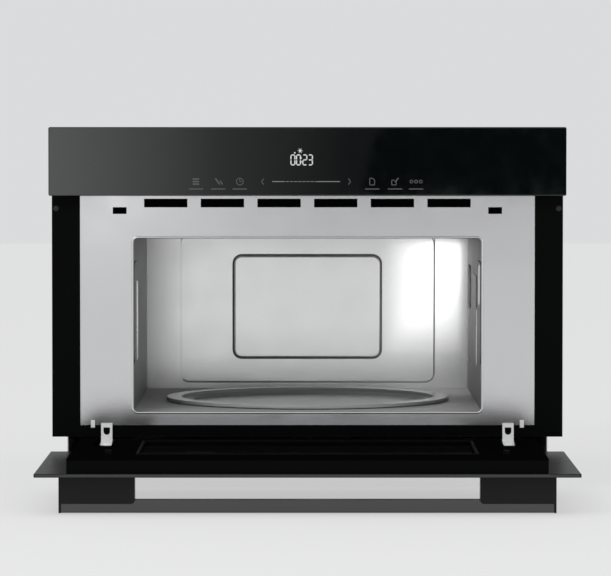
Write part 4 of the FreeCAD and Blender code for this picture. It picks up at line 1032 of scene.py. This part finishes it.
@dataclass
class ControlPanel:
    """Glass touch panel with its lit clock, touch marks and slider. Sizes in millimetres."""

    clock: str = "00:23"
    clock_x: float = -18.9
    clock_z: float = 340.6
    digit_high: float = 11.4
    digit_wide: float = 4.5
    digit_pitch: float = 6.4
    stroke: float = 1.3
    bar_gap_share: float = 0.42
    colon_room: float = 0.9
    colon_shares: Flat = (0.3, 0.7)
    colon_dot_share: float = 0.55
    sun_at: Flat = (10.6, 4.8)
    sun_radius: float = 1.5
    sun_rays: int = 6
    ray_ends: Flat = (1.9, 2.9)
    ray_stroke: float = 0.6
    dot_at: Flat = (4.4, 2.4)
    dot_radius: float = 0.9
    icon_z: float = 321.4
    labels: tuple[float, ...] = (-128.0, -102.4, -77.8, 74.4, 100.7, 124.8)
    label_z: float = 312.9
    label_half: float = 8.2
    label_width: float = 1.1
    slider_from: float = -40.5
    slider_to: float = 37.4
    slider_width: float = 0.8
    steps_from: float = -26.0
    steps_to: float = 12.0
    step_count: int = 8
    step_gap_share: float = 0.28
    step_width_share: float = 0.8
    proud: float = 0.12
    highlight_inset: float = 0.5
    highlight_wide: float = 0.7
    highlight_proud: float = 0.05
    highlight_deep: float = 0.2

    def build(self) -> None:
        """Draws every mark on the front face of the glass."""
        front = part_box("control_glass")[0].y
        proud = self.proud * MM
        self.draw_clock().piece("panel_clock", PALETTE.digits, front, proud)
        self.draw_icons().piece("panel_icons", PALETTE.icons, front, proud)
        self.draw_slider().piece("panel_slider", PALETTE.slider, front, proud)
        self.edge_highlight()

    def draw_clock(self) -> MarkSheet:
        """Draws seven-bar digits with a colon, and two small signs above them.

        Returns:
            The drawn marks.
        """
        sheet = MarkSheet([])
        x = self.clock_x
        for sign in self.clock:
            if sign == ":":
                for share in self.colon_shares:
                    centre = (x - self.colon_room, self.clock_z + self.digit_high * share)
                    sheet.disc(centre, self.stroke * self.colon_dot_share)
                x += self.colon_room
                continue
            self.draw_digit(sheet, sign, x)
            x += self.digit_pitch
        top = self.clock_z + self.digit_high
        sun = (self.clock_x + self.sun_at[0], top + self.sun_at[1])
        sheet.disc(sun, self.sun_radius)
        inner, outer = [circle(sun, reach, self.sun_rays) for reach in self.ray_ends]
        for first, last in zip(inner, outer):
            sheet.line(first, last, self.ray_stroke)
        sheet.disc((self.clock_x + self.dot_at[0], top + self.dot_at[1]), self.dot_radius)
        return sheet

    def draw_digit(self, sheet: MarkSheet, sign: str, left: float) -> None:
        """Draws one digit from its lit bars.

        Args:
            sheet: where it is drawn.
            sign: the digit.
            left: X of its left side.
        """
        right = left + self.digit_wide
        low, high = self.clock_z, self.clock_z + self.digit_high
        mid = (low + high) / 2
        gap = self.stroke * self.bar_gap_share
        bars = {
            "a": ((left + gap, high), (right - gap, high)),
            "b": ((right, mid + gap), (right, high - gap)),
            "c": ((right, low + gap), (right, mid - gap)),
            "d": ((left + gap, low), (right - gap, low)),
            "e": ((left, low + gap), (left, mid - gap)),
            "f": ((left, mid + gap), (left, high - gap)),
            "g": ((left + gap, mid), (right - gap, mid)),
        }
        for bar in SEGMENTS[sign]:
            sheet.line(*bars[bar], self.stroke)

    def draw_icons(self) -> MarkSheet:
        """Draws plain touch signs with a short bar under each, and a chevron at each end of the slider.

        Returns:
            The drawn marks.
        """
        sheet = MarkSheet([])
        for x in self.labels:
            ends = (x - self.label_half, self.label_z), (x + self.label_half, self.label_z)
            sheet.line(*ends, self.label_width)
        for width, points in SIGN_STROKES:
            sheet.path([(x, self.icon_z + rise) for x, rise in points], width)
        for x, radius, width, steps in SIGN_RINGS:
            sheet.ring((x, self.icon_z), radius, width, steps)
        return sheet

    def draw_slider(self) -> MarkSheet:
        """Draws the slider's line: solid at both ends, with short steps along its middle.

        Returns:
            The drawn marks.
        """
        sheet = MarkSheet([])
        z = self.icon_z
        sheet.line((self.slider_from, z), (self.steps_from, z), self.slider_width)
        sheet.line((self.steps_to, z), (self.slider_to, z), self.slider_width)
        pitch = (self.steps_to - self.steps_from) / self.step_count
        for step in range(self.step_count):
            start = self.steps_from + pitch * (step + self.step_gap_share)
            end = self.steps_from + pitch * (step + 1)
            sheet.line((start, z), (end, z), self.slider_width * self.step_width_share)
        return sheet

    def edge_highlight(self) -> None:
        """Pale strip along the top, the left side and the bottom of the glass: painted highlight."""
        low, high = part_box("control_glass")
        inset, rim = self.highlight_inset * MM, self.highlight_wide * MM
        strips = [
            rectangle((low.x + inset, high.x - inset), (high.z - inset - rim, high.z - inset)),
            rectangle((low.x + inset, low.x + inset + rim), (low.z + inset, high.z - inset - rim)),
            rectangle((low.x + inset + rim, high.x - inset), (low.z + inset, low.z + inset + rim)),
        ]
        mesh = extrude_polygons(strips, low.y - self.highlight_proud * MM, low.y + self.highlight_deep * MM)
        # pale strip on three sides of the glass: painted highlight
        add_piece("panel_rim_highlight", mesh, PALETTE.edge_painted_highlight, "chassis")


@dataclass
class OvenMouth:
    """Front plate round the cavity: lip, screens behind the vents, plugs in the flange. Sizes in metres."""

    corner: float = 0.006
    bead: float = 0.0013
    bead_steps: int = 14
    vent_count: int = 6
    vent_size: Flat = (0.05, 0.01)
    vent_pitch: float = 0.0654
    vent_drop: float = 0.0037
    screen_gap: float = 0.0015
    screen_lap: float = 0.003
    blade_count: int = 5
    blade_deep: float = 0.003
    blade_end: Flat = (0.7, 0.6)
    plug_reach: float = 0.29
    plug_height: float = 0.29
    plug_levels: tuple[Flat, ...] = (
        (0.0021, -0.0008), (0.0021, 0.0), (0.0034, 0.0), (0.0031, 0.0007), (0.0016, 0.0011))

    def build(self) -> None:
        """Rolls a bright lip round the mouth, sets the screens and plugs the screw holes of the flange."""
        self.lip()
        self.vent_screens()
        self.hole_plugs()

    def lip(self) -> None:
        """Rolled lip that follows the edge of the mouth."""
        low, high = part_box("cavity_ceiling")
        sides = (low.x, high.x)
        heights = (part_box("cavity_floor")[1].z, low.z)
        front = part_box("front_plate")[0].y
        profile = half_round(self.bead, self.bead_steps)
        mesh = frame_bead(Plane.FRONT, sides, heights, self.corner, front, -1, profile)
        add_piece("mouth_lip", mesh, PALETTE.lip_steel, "chassis", True)

    def hole_plugs(self) -> None:
        """Black plug in each screw hole of the flange."""
        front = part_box("front_frame")[0].y
        mesh = bmesh.new()
        for side in Side:
            centre = Vector((side.value * self.plug_reach, front, self.plug_height))
            turned_form(mesh, centre, -Y_AXIS, self.plug_levels)
        add_piece("hole_plugs", mesh, PALETTE.black_plastic, "chassis")

    def vent_screens(self) -> None:
        """A louvred black screen behind each vent of the front plate."""
        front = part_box("front_plate")[1].y + self.screen_gap
        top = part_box("control_glass")[0].z - self.vent_drop
        half_wide = self.vent_size[0] / 2 + self.screen_lap
        low, high = top - self.vent_size[1] - self.screen_lap, top + self.screen_lap
        pitch = (high - low) / self.blade_count
        rise, sink = self.blade_end
        profile = [(0.0, self.blade_deep)]
        for blade in range(self.blade_count):
            profile += [(pitch * blade, 0.0), (pitch * (blade + rise), self.blade_deep * sink)]
        profile += [(high - low, 0.0), (high - low, self.blade_deep)]
        mesh = bmesh.new()
        for number in range(self.vent_count):
            x = (number - (self.vent_count - 1) / 2) * self.vent_pitch
            ends = []
            for side in Side:
                at = x + side.value * half_wide
                ends.append([mesh.verts.new((at, front + deep, low + up)) for up, deep in profile])
            for i in range(len(profile)):
                j = (i + 1) % len(profile)
                mesh.faces.new((ends[0][i], ends[0][j], ends[1][j], ends[1][i]))
            mesh.faces.new(ends[0])
            mesh.faces.new(list(reversed(ends[1])))
        add_piece("vent_screens", mesh, PALETTE.vent_black, "chassis")


@dataclass
class RearWall:
    """Pressed rear wall of the cavity, with painted shade strips round its two steps. Sizes in metres."""

    panel_half: float = 0.093
    panel_low: float = 0.0919
    panel_high: float = 0.2217
    panel_corner: float = 0.0106
    panel_shade_wide: float = 0.0024
    panel_set: float = 0.0031
    step_half: float = 0.1606
    step_low: float = 0.0611
    step_corner: float = 0.012
    step_shade_wide: float = 0.0011
    step_set: float = 0.0051
    step_strip: Flat = (0.0015, 0.00215)
    corner_steps: int = 8
    seam_depth: float = 0.0006
    shoulder: float = 0.6
    crown: float = 0.5

    def build(self) -> None:
        """Lays a dark strip of painted shade round the inner panel, and a finer grey one round the step."""
        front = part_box("cavity_rear_wall")[0].y
        self.inner_groove_shade(front + self.panel_set)
        self.outer_step_shade(front + self.step_set)

    def section(self, wide: float) -> list[Flat]:
        """Makes the flat section of a painted shade strip, with a slight crown.

        Args:
            wide: its width.

        Returns:
            Its outline.
        """
        half, rise = wide / 2, self.seam_depth
        right = [(half * self.crown, rise), (half, rise * self.shoulder), (half, 0.0)]
        return [(-across, up) for across, up in reversed(right)] + right

    def inner_groove_shade(self, y: float) -> None:
        """Lays a closed dark strip round the inner panel, in its groove: painted shade.

        Args:
            y: plane that it lies on.
        """
        across, up = (-self.panel_half, self.panel_half), (self.panel_low, self.panel_high)
        mesh = frame_bead(Plane.FRONT, across, up, self.panel_corner, y, -1, self.section(self.panel_shade_wide))
        # dark strip standing in for the groove's shade: painted shade
        add_piece("rear_panel_painted_shade", mesh, PALETTE.seam, "chassis")

    def outer_step_shade(self, y: float) -> None:
        """Lays strips along the step's edge: the wall's own steel down its left side, and a grey strip of
        painted shade under it and up its right side.

        Args:
            y: plane that it lies on.
        """
        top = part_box("cavity_ceiling")[0].z
        high = 2 * (top - self.step_low)
        path, sides = [], []
        for (x, z), out in rounded_loop(2 * self.step_half, high, self.step_corner, self.corner_steps):
            if z > 0.0:
                continue
            path.append(Vector((x, y, top + z)))
            sides.append((Vector((out[0], 0.0, out[1])), -Y_AXIS))
        path = [Vector((path[0].x, y, top))] + path + [Vector((path[-1].x, y, top))]
        sides = [sides[0]] + sides + [sides[-1]]
        bend = 1 + self.corner_steps // 2
        half, rise = self.step_strip
        flat = [(-half, 0.0), (-half, rise), (half, rise), (half, 0.0)]
        strip = sweep(path[:bend + 1], sides[:bend + 1], flat, False)
        add_piece("rear_step_strip", strip, PALETTE.rear_steel, "chassis")
        # grey strip standing in for the shade under the step and up its right side: painted shade
        shaded = sweep(path[bend:], sides[bend:], self.section(self.step_shade_wide), False)
        add_piece("rear_step_painted_shade", shaded, PALETTE.step_painted_shade, "chassis")


@dataclass
class SideWalls:
    """Pressed ribs on the cavity's side walls, in a finish much paler than the wall as a painted highlight,
    each as Y, lower end and upper end. Sizes in metres.
    """

    left_ribs: tuple[Place, ...] = ((-0.198, 0.11, 0.206),)
    right_ribs: tuple[Place, ...] = ((-0.24, 0.175, 0.225), (-0.135, 0.099, 0.170), (0.101, 0.089, 0.157))
    boss_run: Flat = (-0.249, -0.159)
    boss_rise: float = 0.0015
    rib_wide: float = 0.0038
    rib_high: float = 0.0022

    def build(self) -> None:
        """Presses the ribs of both walls."""
        for side, ribs in ((Side.LEFT, self.left_ribs), (Side.RIGHT, self.right_ribs)):
            for number, (y, low, high) in enumerate(ribs):
                self.rib("%s_wall_rib_%d" % (side.word, number + 1), side, y, low, high)

    def rib(self, name: str, side: Side, y: float, low: float, high: float) -> None:
        """One upright rib, on the wall or on the boss that the wall has near the mouth.

        Args:
            name: name of the piece.
            side: wall that carries it.
            y: its place along the wall.
            low: its lower end.
            high: its upper end.
        """
        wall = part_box("cavity_floor")[1 if side is Side.RIGHT else 0].x
        x = wall - side.value * (self.boss_rise if self.boss_run[0] < y < self.boss_run[1] else 0.0)
        start, end = Vector((x, y, low)), Vector((x, y, high))
        mesh = tapered_bead(start, end, Y_AXIS, -side.out, self.rib_wide, self.rib_high)
        # the rib's pale finish is a painted highlight
        add_piece(name, mesh, PALETTE.rib_painted_highlight, "chassis", True)


@dataclass
class Door:
    """Glass door that drops down, with a paler free edge that is partly painted highlight, and the black
    print inside. Sizes in metres.
    """

    edge_inset: float = 0.0007
    end_inset: float = 0.002
    proud: float = 0.00015
    print_inset: float = 0.0008
    window_lap: float = 0.006
    bead: float = 0.002
    bead_corner: float = 0.005
    bead_steps: int = 12

    def build(self) -> None:
        """Adds the paler free edge with its painted highlight, the print inside the outer glass and the bead
        round the window.
        """
        self.free_edge()
        self.inner_print()
        self.window_bead()

    def free_edge(self) -> None:
        """Paler strip along the free edge of the glass: partly the glass edge's own tone, partly painted
        highlight.
        """
        low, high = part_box("door_glass")
        across = (low.x + self.end_inset, high.x - self.end_inset)
        up = (low.z + self.edge_inset, high.z - self.edge_inset)
        mesh = extrude_polygons([rectangle(across, up)], low.y - self.proud, low.y + self.proud)
        # pale strip on the free edge: partly the glass edge's tone, partly painted highlight
        add_piece("door_edge_highlight", mesh, PALETTE.edge_painted_highlight, "door")

    def inner_print(self) -> None:
        """Black print on the margins of the glass beside the inner frame."""
        low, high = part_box("door_glass")
        frame_low, frame_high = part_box("door_inner_frame")
        along = (low.y + self.print_inset, high.y - self.print_inset)
        margins = [rectangle((low.x + self.print_inset, frame_low.x), along),
                   rectangle((frame_high.x, high.x - self.print_inset), along)]
        mesh = extrude_polygons(margins, high.z - self.proud, high.z + self.proud, Plane.TOP)
        add_piece("door_print", mesh, PALETTE.door_print, "door")

    def window_bead(self) -> None:
        """Half-round bead on the cover, round the opening that the inner window shows through."""
        low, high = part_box("door_window")
        inset = self.window_lap - self.bead
        across, up = (low.x + inset, high.x - inset), (low.y + inset, high.y - inset)
        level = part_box("choke_cover")[1].z
        profile = half_round(self.bead, self.bead_steps)
        mesh = frame_bead(Plane.TOP, across, up, self.bead_corner, level, 1, profile)
        add_piece("window_bead", mesh, PALETTE.vent_black, "door", True)


@dataclass
class Casing:
    """Sheet casing in the niche: flanges, beads, slit rims, dimples, bare plate, screws. Sizes in metres."""

    bead_wide: float = 0.016
    bead_high: float = 0.0022
    bead_margin: float = 0.07
    top_bead_x: float = 0.16
    top_bead_rear: float = 0.11
    side_bead_y: Flat = (-0.11, 0.06)
    plate_size: Flat = (0.11, 0.06)
    plate_at: Flat = (0.17, 0.12)
    plate_corner: float = 0.004
    plate_thick: float = 0.0006
    corner_steps: int = 5
    screw_radius: float = 0.004
    screw_high: float = 0.002
    head_shares: tuple[Flat, ...] = ((1.0, 0.0), (1.0, 0.35), (0.86, 0.7), (0.6, 0.92), (0.42, 1.0))
    cross_arms: int = 4
    cross_shares: Flat = (0.14, 0.4)
    cross_deep: float = 0.45
    flange_wide: float = 0.02
    flange_thick: float = 0.0012
    flange_corner: float = 0.006
    flange_front: float = 0.03
    flange_screws: tuple[float, ...] = (-0.2, -0.05, 0.1, 0.25)
    top_slits: tuple[Flat, Flat] = ((-0.060, 0.054), (0.173, 0.219))
    side_slits: tuple[Flat, Flat] = ((0.142, 0.236), (0.302, 0.348))
    rear_slits: tuple[Flat, Flat] = ((0.005, 0.109), (0.2917, 0.3377))
    rim_margin: float = 0.008
    rim_radius: float = 0.0016
    rim_corner: float = 0.008
    rim_steps: int = 8
    dimples: tuple[Flat, ...] = ((-0.21, 0.3), (0.21, 0.3), (-0.09, 0.05), (0.09, 0.05))
    dimple_spokes: int = 32
    dimple_levels: tuple[Flat, ...] = (
        (0.014, 0.0), (0.0125, 0.0006), (0.0105, 0.002), (0.008, 0.0026), (0.003, 0.0028))

    def build(self) -> None:
        """Adds every detail of the casing."""
        self.bead_top()
        for side in Side:
            self.bead_side(side)
            self.cover_flange(side)
            self.rear_flange(side)
        self.slit_rims()
        self.rear_dimples()
        self.bare_plate()
        self.rear_screws()

    def sheet_piece(self, name: str, mesh: bmesh.types.BMesh, smooth: bool = False) -> bpy.types.Object:
        """Makes a piece of casing sheet."""
        return add_piece(name, mesh, PALETTE.casing, "chassis", smooth)

    def rounded(self, across: Flat, up: Flat, corner: float) -> list[Flat]:
        """Outline of a rectangle with round corners between two pairs of limits."""
        loop = rounded_loop(across[1] - across[0], up[1] - up[0], corner, self.corner_steps)
        return [(sum(across) / 2 + x, sum(up) / 2 + y) for (x, y), _ in loop]

    def bead_top(self) -> None:
        """Two long beads on the top cover."""
        low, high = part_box("top_cover")
        for side in Side:
            x = side.value * self.top_bead_x
            start = Vector((x, low.y + self.bead_margin, high.z))
            end = Vector((x, high.y - self.top_bead_rear, high.z))
            mesh = tapered_bead(start, end, X_AXIS, Z_AXIS, self.bead_wide, self.bead_high)
            self.sheet_piece("top_bead_%s" % side.word, mesh, True)

    def side_panel(self, side: Side) -> tuple[Vector, Vector, float]:
        """The corners of a side panel and the X of its outer face."""
        low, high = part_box("side_panel_%s" % side.word)
        return low, high, high.x if side is Side.RIGHT else low.x

    def bead_side(self, side: Side) -> None:
        """Adds two upright beads to a side panel.

        Args:
            side: side of the panel.
        """
        low, high, x = self.side_panel(side)
        for number, y in enumerate(self.side_bead_y):
            start = Vector((x, y, low.z + self.bead_margin))
            end = Vector((x, y, high.z - self.bead_margin))
            mesh = tapered_bead(start, end, Y_AXIS, side.out, self.bead_wide, self.bead_high)
            self.sheet_piece("side_bead_%s_%d" % (side.word, number + 1), mesh, True)

    def cover_flange(self, side: Side) -> None:
        """Turns the edge of the top cover down over a side panel and screws it on.

        Args:
            side: side of the panel.
        """
        low, high, x = self.side_panel(side)
        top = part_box("top_cover")[1].z
        outline = self.rounded((low.y + self.flange_front, high.y - self.flange_thick),
                               (top - self.flange_wide, top - self.flange_thick), self.flange_corner)
        face = x + side.value * self.flange_thick
        mesh = extrude_polygons([outline], x, face, Plane.SIDE)
        self.sheet_piece("cover_flange_%s" % side.word, mesh)
        heads = bmesh.new()
        for y in self.flange_screws:
            self.screw(heads, Vector((face, y, top - self.flange_wide / 2)), side.out)
        add_piece("cover_screws_%s" % side.word, heads, PALETTE.screw_steel, "chassis")

    def rear_flange(self, side: Side) -> None:
        """Turns the edge of a side panel in over the rear panel, under its screws.

        Args:
            side: side of the panel.
        """
        low, high, x = self.side_panel(side)
        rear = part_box("rear_panel")[1].y
        inner = x - side.value * (self.flange_wide + self.screw_radius)
        outline = self.rounded((min(x, inner), max(x, inner)), (low.z, high.z), self.flange_corner)
        mesh = extrude_polygons([outline], rear, rear + self.flange_thick)
        self.sheet_piece("rear_flange_%s" % side.word, mesh)

    def slit_rims(self) -> None:
        """Raised rim round each group of vent slits."""
        groups = [("top_slit_rim", Plane.TOP, self.top_slits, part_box("top_cover")[1].z, 1),
                  ("rear_slit_rim", Plane.FRONT, self.rear_slits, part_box("rear_panel")[1].y, 1)]
        for side in Side:
            name = "side_slit_rim_%s" % side.word
            groups.append((name, Plane.SIDE, self.side_slits, self.side_panel(side)[2], side.value))
        profile = half_round(self.rim_radius, self.rim_steps)
        for name, plane, (across, up), level, out in groups:
            wide = (across[0] - self.rim_margin, across[1] + self.rim_margin)
            tall = (up[0] - self.rim_margin, up[1] + self.rim_margin)
            mesh = frame_bead(plane, wide, tall, self.rim_corner, level, out, profile)
            self.sheet_piece(name, mesh, True)

    def rear_dimples(self) -> None:
        """Pressed dimples that keep the rear panel off the wall of the niche."""
        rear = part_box("rear_panel")[1].y
        mesh = bmesh.new()
        for x, z in self.dimples:
            turned_form(mesh, Vector((x, rear, z)), Y_AXIS, self.dimple_levels, self.dimple_spokes)
        self.sheet_piece("rear_dimples", mesh, True)

    def bare_plate(self) -> None:
        """A blank plate with round corners on the rear panel."""
        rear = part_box("rear_panel")[1].y
        (x, z), (wide, tall) = self.plate_at, self.plate_size
        across, up = (x - wide / 2, x + wide / 2), (z - tall / 2, z + tall / 2)
        outline = self.rounded(across, up, self.plate_corner)
        mesh = extrude_polygons([outline], rear, rear + self.plate_thick)
        add_piece("bare_plate", mesh, PALETTE.tin, "chassis")

    def rear_screws(self) -> None:
        """Domed screw heads with a cross recess, in place of the plain ones."""
        low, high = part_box("case_screws")
        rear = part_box("rear_panel")[1].y
        mesh = bmesh.new()
        for x in (low.x + self.screw_radius, high.x - self.screw_radius):
            for z in (low.z + self.screw_radius, (low.z + high.z) / 2, high.z - self.screw_radius):
                self.screw(mesh, Vector((x, rear, z)), Y_AXIS)
        piece = add_piece("rear_screws", mesh, PALETTE.screw_steel, "chassis")
        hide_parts("case_screws")

    def screw(self, mesh: bmesh.types.BMesh, centre: Vector, out: Vector) -> None:
        """Adds one screw head, with its cross recess sunk into the dome.

        Args:
            mesh: where it is added.
            centre: middle of its seat.
            out: direction that it stands out.
        """
        levels = [(self.screw_radius * reach, self.screw_high * rise) for reach, rise in self.head_shares]
        rings = turned_rings(mesh, centre, out, levels)
        spokes = len(rings[0])
        mesh.faces.new(list(reversed(rings[0])))
        turn = out.to_track_quat("Z", "Y").to_matrix()
        inner, outer = self.cross_shares
        deep = self.screw_high * self.cross_deep
        sector = spokes // self.cross_arms
        recess = []
        for i in range(spokes):
            reach = self.screw_radius * (outer if i % sector in (0, 1, sector - 1) else inner)
            angle = math.tau * i / spokes
            place = Vector((reach * math.cos(angle), reach * math.sin(angle), deep))
            recess.append(mesh.verts.new(centre + turn @ place))
        for i in range(spokes):
            j = (i + 1) % spokes
            mesh.faces.new((rings[-1][i], rings[-1][j], recess[j], recess[i]))
        mesh.faces.new(recess)


@dataclass
class Studio:
    """Pale floor, soft lights, reflection cards and the camera. Sizes in metres."""

    image: tuple[int, int] = (611, 576)
    focal_pixels: float = 4085.0
    sensor: float = 36.0
    clip_end: float = 40.0
    camera_x: float = -0.0022
    camera_z: float = 0.3955
    camera_far: float = 4.692
    horizon_row: float = 117.0
    floor_drop: float = 0.0015
    floor_reach: float = 9.0
    floor_colour: Colour = (0.8, 0.8, 0.8)
    floor_rough: float = 0.9
    plinth_inset: Flat = (0.04, 0.06)
    plinth_back: float = 0.02
    backdrop_colour: Colour = (0.86, 0.86, 0.86)
    backdrop_glow: float = 0.6
    world_colour: Colour = (0.98, 0.99, 1.0)
    world_light: float = 0.72
    middle: Place = (0.0, -0.2, 0.2)
    soft_lights: tuple[tuple[str, Place, float, float], ...] = (
        ("key_light", (-1.6, -2.6, 2.2), 1.6, 26.0), ("fill_light", (2.2, -2.2, 1.2), 1.2, 6.0))
    lamp_gap: float = 0.002
    lamp_throw: float = 0.03
    lamp_layers: int = 8
    lamp_small: Flat = (0.035, 0.044)
    lamp_large: Flat = (0.1, 0.14)
    lamp_top: float = 0.05
    lamp_radiance: float = 0.1
    lamp_spread: float = 130.0
    wash_reach: float = 0.03
    wash_way: Place = (-0.05, 0.03, -0.15)
    wash_size: Flat = (0.04, 0.04)
    wash_power: float = 0.03
    card_back: float = 0.2
    card_reach: float = 0.66
    card_split: Flat = (0.115, 0.175)
    card_heights: Flat = (0.17, 0.4)
    low_heights: Flat = (0.1, 0.2)
    pale_stops: tuple[Flat, ...] = ((-0.66, 2.45), (-0.2, 0.62), (0.1, 0.14))
    dark_stops: tuple[Flat, ...] = ((0.0, 0.02), (0.3, 0.015), (0.66, 0.015))
    low_stops: tuple[Flat, ...] = ((0.0, 1.5), (0.3, 1.5), (0.66, 1.5))

    def build(self) -> None:
        """Sets the stage."""
        bpy.context.scene.view_settings.view_transform = "Standard"
        self.floor()
        self.world()
        self.lights()
        self.cards()
        self.camera()

    def backdrop_material(self, name: str) -> bpy.types.Material:
        """Makes a pale matt surface that stays pale to the eye and still takes a shadow.

        Args:
            name: name of the material.

        Returns:
            The material.
        """
        graph = Graph(name)
        graph.set(Base_Color=self.floor_colour, Roughness=self.floor_rough)
        glow = graph.add("Emission", Color=self.backdrop_colour)
        rays = graph.add("LightPath").outputs
        seen = rays["Is Camera Ray"]
        for ray in ("Is Glossy Ray", "Is Transmission Ray"):
            seen = graph.maths(Operation.LARGER, seen, rays[ray])
        share = graph.maths(Operation.TIMES, seen, self.backdrop_glow)
        mixed = graph.add("MixShader", Fac=share)
        graph.put(mixed.inputs[1], graph.shader.outputs[0])
        graph.put(mixed.inputs[2], glow.outputs[0])
        graph.surface(mixed.outputs[0])
        return graph.material

    def floor(self) -> None:
        """Floor just under the lowered handle, and a pale plinth under the casing."""
        level = CAD_BOX[0][2] - self.floor_drop
        material = self.backdrop_material("studio_floor")
        mesh = bmesh.new()
        limits = (-self.floor_reach, self.floor_reach)
        mesh.faces.new([mesh.verts.new((x, y, level)) for x, y in rectangle(limits, limits)])
        self.stage_piece("studio_floor", mesh, material)
        low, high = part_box("base_plate")
        inset_x, inset_y = self.plinth_inset
        size = Vector((high.x - low.x - inset_x, high.y - low.y - inset_y, low.z - level))
        centre = Vector((0.0, (low.y + high.y) / 2 + self.plinth_back, (low.z + level) / 2))
        block = bmesh.new()
        bmesh.ops.create_cube(block, size=1.0)
        shape = Matrix.Translation(centre) @ Matrix.Diagonal((*size, 1.0))
        bmesh.ops.transform(block, matrix=shape, verts=block.verts)
        self.stage_piece("studio_plinth", block, material)

    def stage_piece(self, name: str, mesh: bmesh.types.BMesh,
                    material: bpy.types.Material) -> bpy.types.Object:
        """Makes an object that belongs to the stage.

        Args:
            name: its name.
            mesh: its geometry, freed here.
            material: its material.

        Returns:
            The new object.
        """
        data = bpy.data.meshes.new(name)
        mesh.to_mesh(data)
        mesh.free()
        data.materials.append(material)
        piece = bpy.data.objects.new(name, data)
        bpy.context.scene.collection.objects.link(piece)
        return piece

    def world(self) -> None:
        """Even pale surroundings that light the oven softly."""
        world = bpy.data.worlds.new("studio_world")
        world.use_nodes = True
        background = world.node_tree.nodes["Background"]
        background.inputs["Color"].default_value = (*self.world_colour, 1.0)
        background.inputs["Strength"].default_value = self.world_light
        bpy.context.scene.world = world

    def lights(self) -> None:
        """A broad key from the upper left, a fill from the right and the oven's own lamp."""
        for name, at, size, power in self.soft_lights:
            self.area(name, Vector(at), Vector(self.middle), (size, size), power)
        self.cavity_lamp()

    def cavity_lamp(self) -> None:
        """The oven's lamp, in layers that grow down and to the left, so that its reflection fades there."""
        low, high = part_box("lamp_lens")
        lens = (low + high) / 2
        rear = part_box("cavity_rear_wall")[0].y
        for layer in range(self.lamp_layers):
            share = layer / (self.lamp_layers - 1)
            wide, tall = Vector(self.lamp_small).lerp(Vector(self.lamp_large), share)
            at = lens + Vector((-self.lamp_gap - wide / 2, 0.0, self.lamp_top - tall / 2))
            towards = Vector((at.x - self.lamp_throw, rear, at.z))
            power = math.pi * self.lamp_radiance * wide * tall
            name = "cavity_lamp_%d" % (layer + 1)
            self.area(name, at, towards, (wide, tall), power, self.lamp_spread)
        at = lens - X_AXIS * self.wash_reach
        towards = at + Vector(self.wash_way)
        self.area("cavity_wash", at, towards, self.wash_size, self.wash_power, self.lamp_spread)

    def area(self, name: str, at: Vector, towards: Vector, size: Flat, power: float,
             spread: float = 180.0) -> None:
        """Adds a rectangular area light.

        Args:
            name: its name.
            at: its place.
            towards: the point that it faces.
            size: its width and height.
            power: its power in watts.
            spread: angle that its beam opens to, in degrees.
        """
        light = bpy.data.lights.new(name, "AREA")
        light.shape = "RECTANGLE"
        light.size, light.size_y = size
        light.energy = power
        light.spread = math.radians(spread)
        lamp = bpy.data.objects.new(name, light)
        lamp.location = at
        lamp.rotation_euler = (towards - at).to_track_quat("-Z", "Y").to_euler()
        bpy.context.scene.collection.objects.link(lamp)

    def cards(self) -> None:
        """Cards behind the camera that only reflections show: a pale one, a dark one and a low one."""
        reach, (split_low, split_high) = self.card_reach, self.card_split
        low, high = self.card_heights
        pale = [(-reach, low), (split_low, low), (split_high, high), (-reach, high)]
        dark = [(split_low, low), (reach, low), (reach, high), (split_high, high)]
        self.card("pale_card", pale, self.pale_stops)
        self.card("dark_card", dark, self.dark_stops)
        self.card("low_card", rectangle((split_low, reach), self.low_heights), self.low_stops)

    def card(self, name: str, corners: Sequence[Flat], stops: Sequence[Flat]) -> None:
        """Adds a glowing card whose brightness changes along X.

        Args:
            name: its name.
            corners: its corners, as X and Z.
            stops: X and brightness of three stops.
        """
        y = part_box("control_glass")[0].y - self.camera_far - self.card_back
        mesh = bmesh.new()
        mesh.faces.new([mesh.verts.new((x, y, z)) for x, z in corners])
        graph = Graph(name)
        x = graph.along(Axis.ACROSS)
        near = graph.span(x, stops[0][1], stops[1][1], stops[0][0], stops[1][0])
        far = graph.span(x, 0.0, stops[2][1] - stops[1][1], stops[1][0], stops[2][0])
        total = graph.maths(Operation.PLUS, near, far)
        glow = graph.add("Emission", Color=(1.0, 1.0, 1.0), Strength=total)
        graph.surface(glow.outputs[0])
        card = self.stage_piece(name, mesh, graph.material)
        card.visible_camera = False
        card.visible_diffuse = False
        card.visible_shadow = False
        card.visible_transmission = False

    def camera(self) -> None:
        """Long lens, about level with the top of the front and tipped down a little."""
        data = bpy.data.cameras.new("photo_camera")
        data.sensor_fit = "HORIZONTAL"
        data.sensor_width = self.sensor
        data.lens = self.focal_pixels / self.image[0] * data.sensor_width
        data.clip_end = self.clip_end
        camera = bpy.data.objects.new("photo_camera", data)
        tip = math.atan((self.image[1] / 2 - self.horizon_row) / self.focal_pixels)
        camera.location = (self.camera_x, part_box("control_glass")[0].y - self.camera_far, self.camera_z)
        camera.rotation_euler = (math.pi / 2 - tip, 0.0, 0.0)
        bpy.context.scene.collection.objects.link(camera)
        bpy.context.scene.camera = camera


def main() -> None:
    """Dresses the solids, builds each sub-assembly's details and sets the stage."""
    logging.basicConfig(level=logging.INFO, format="%(name)s: %(message)s")
    dress_nodes()
    for part in (ControlPanel(), OvenMouth(), RearWall(), SideWalls(), Door(), Casing(), Studio()):
        part.build()
        LOG.info("%s done", type(part).__name__)


if __name__ == "__main__":
    main()
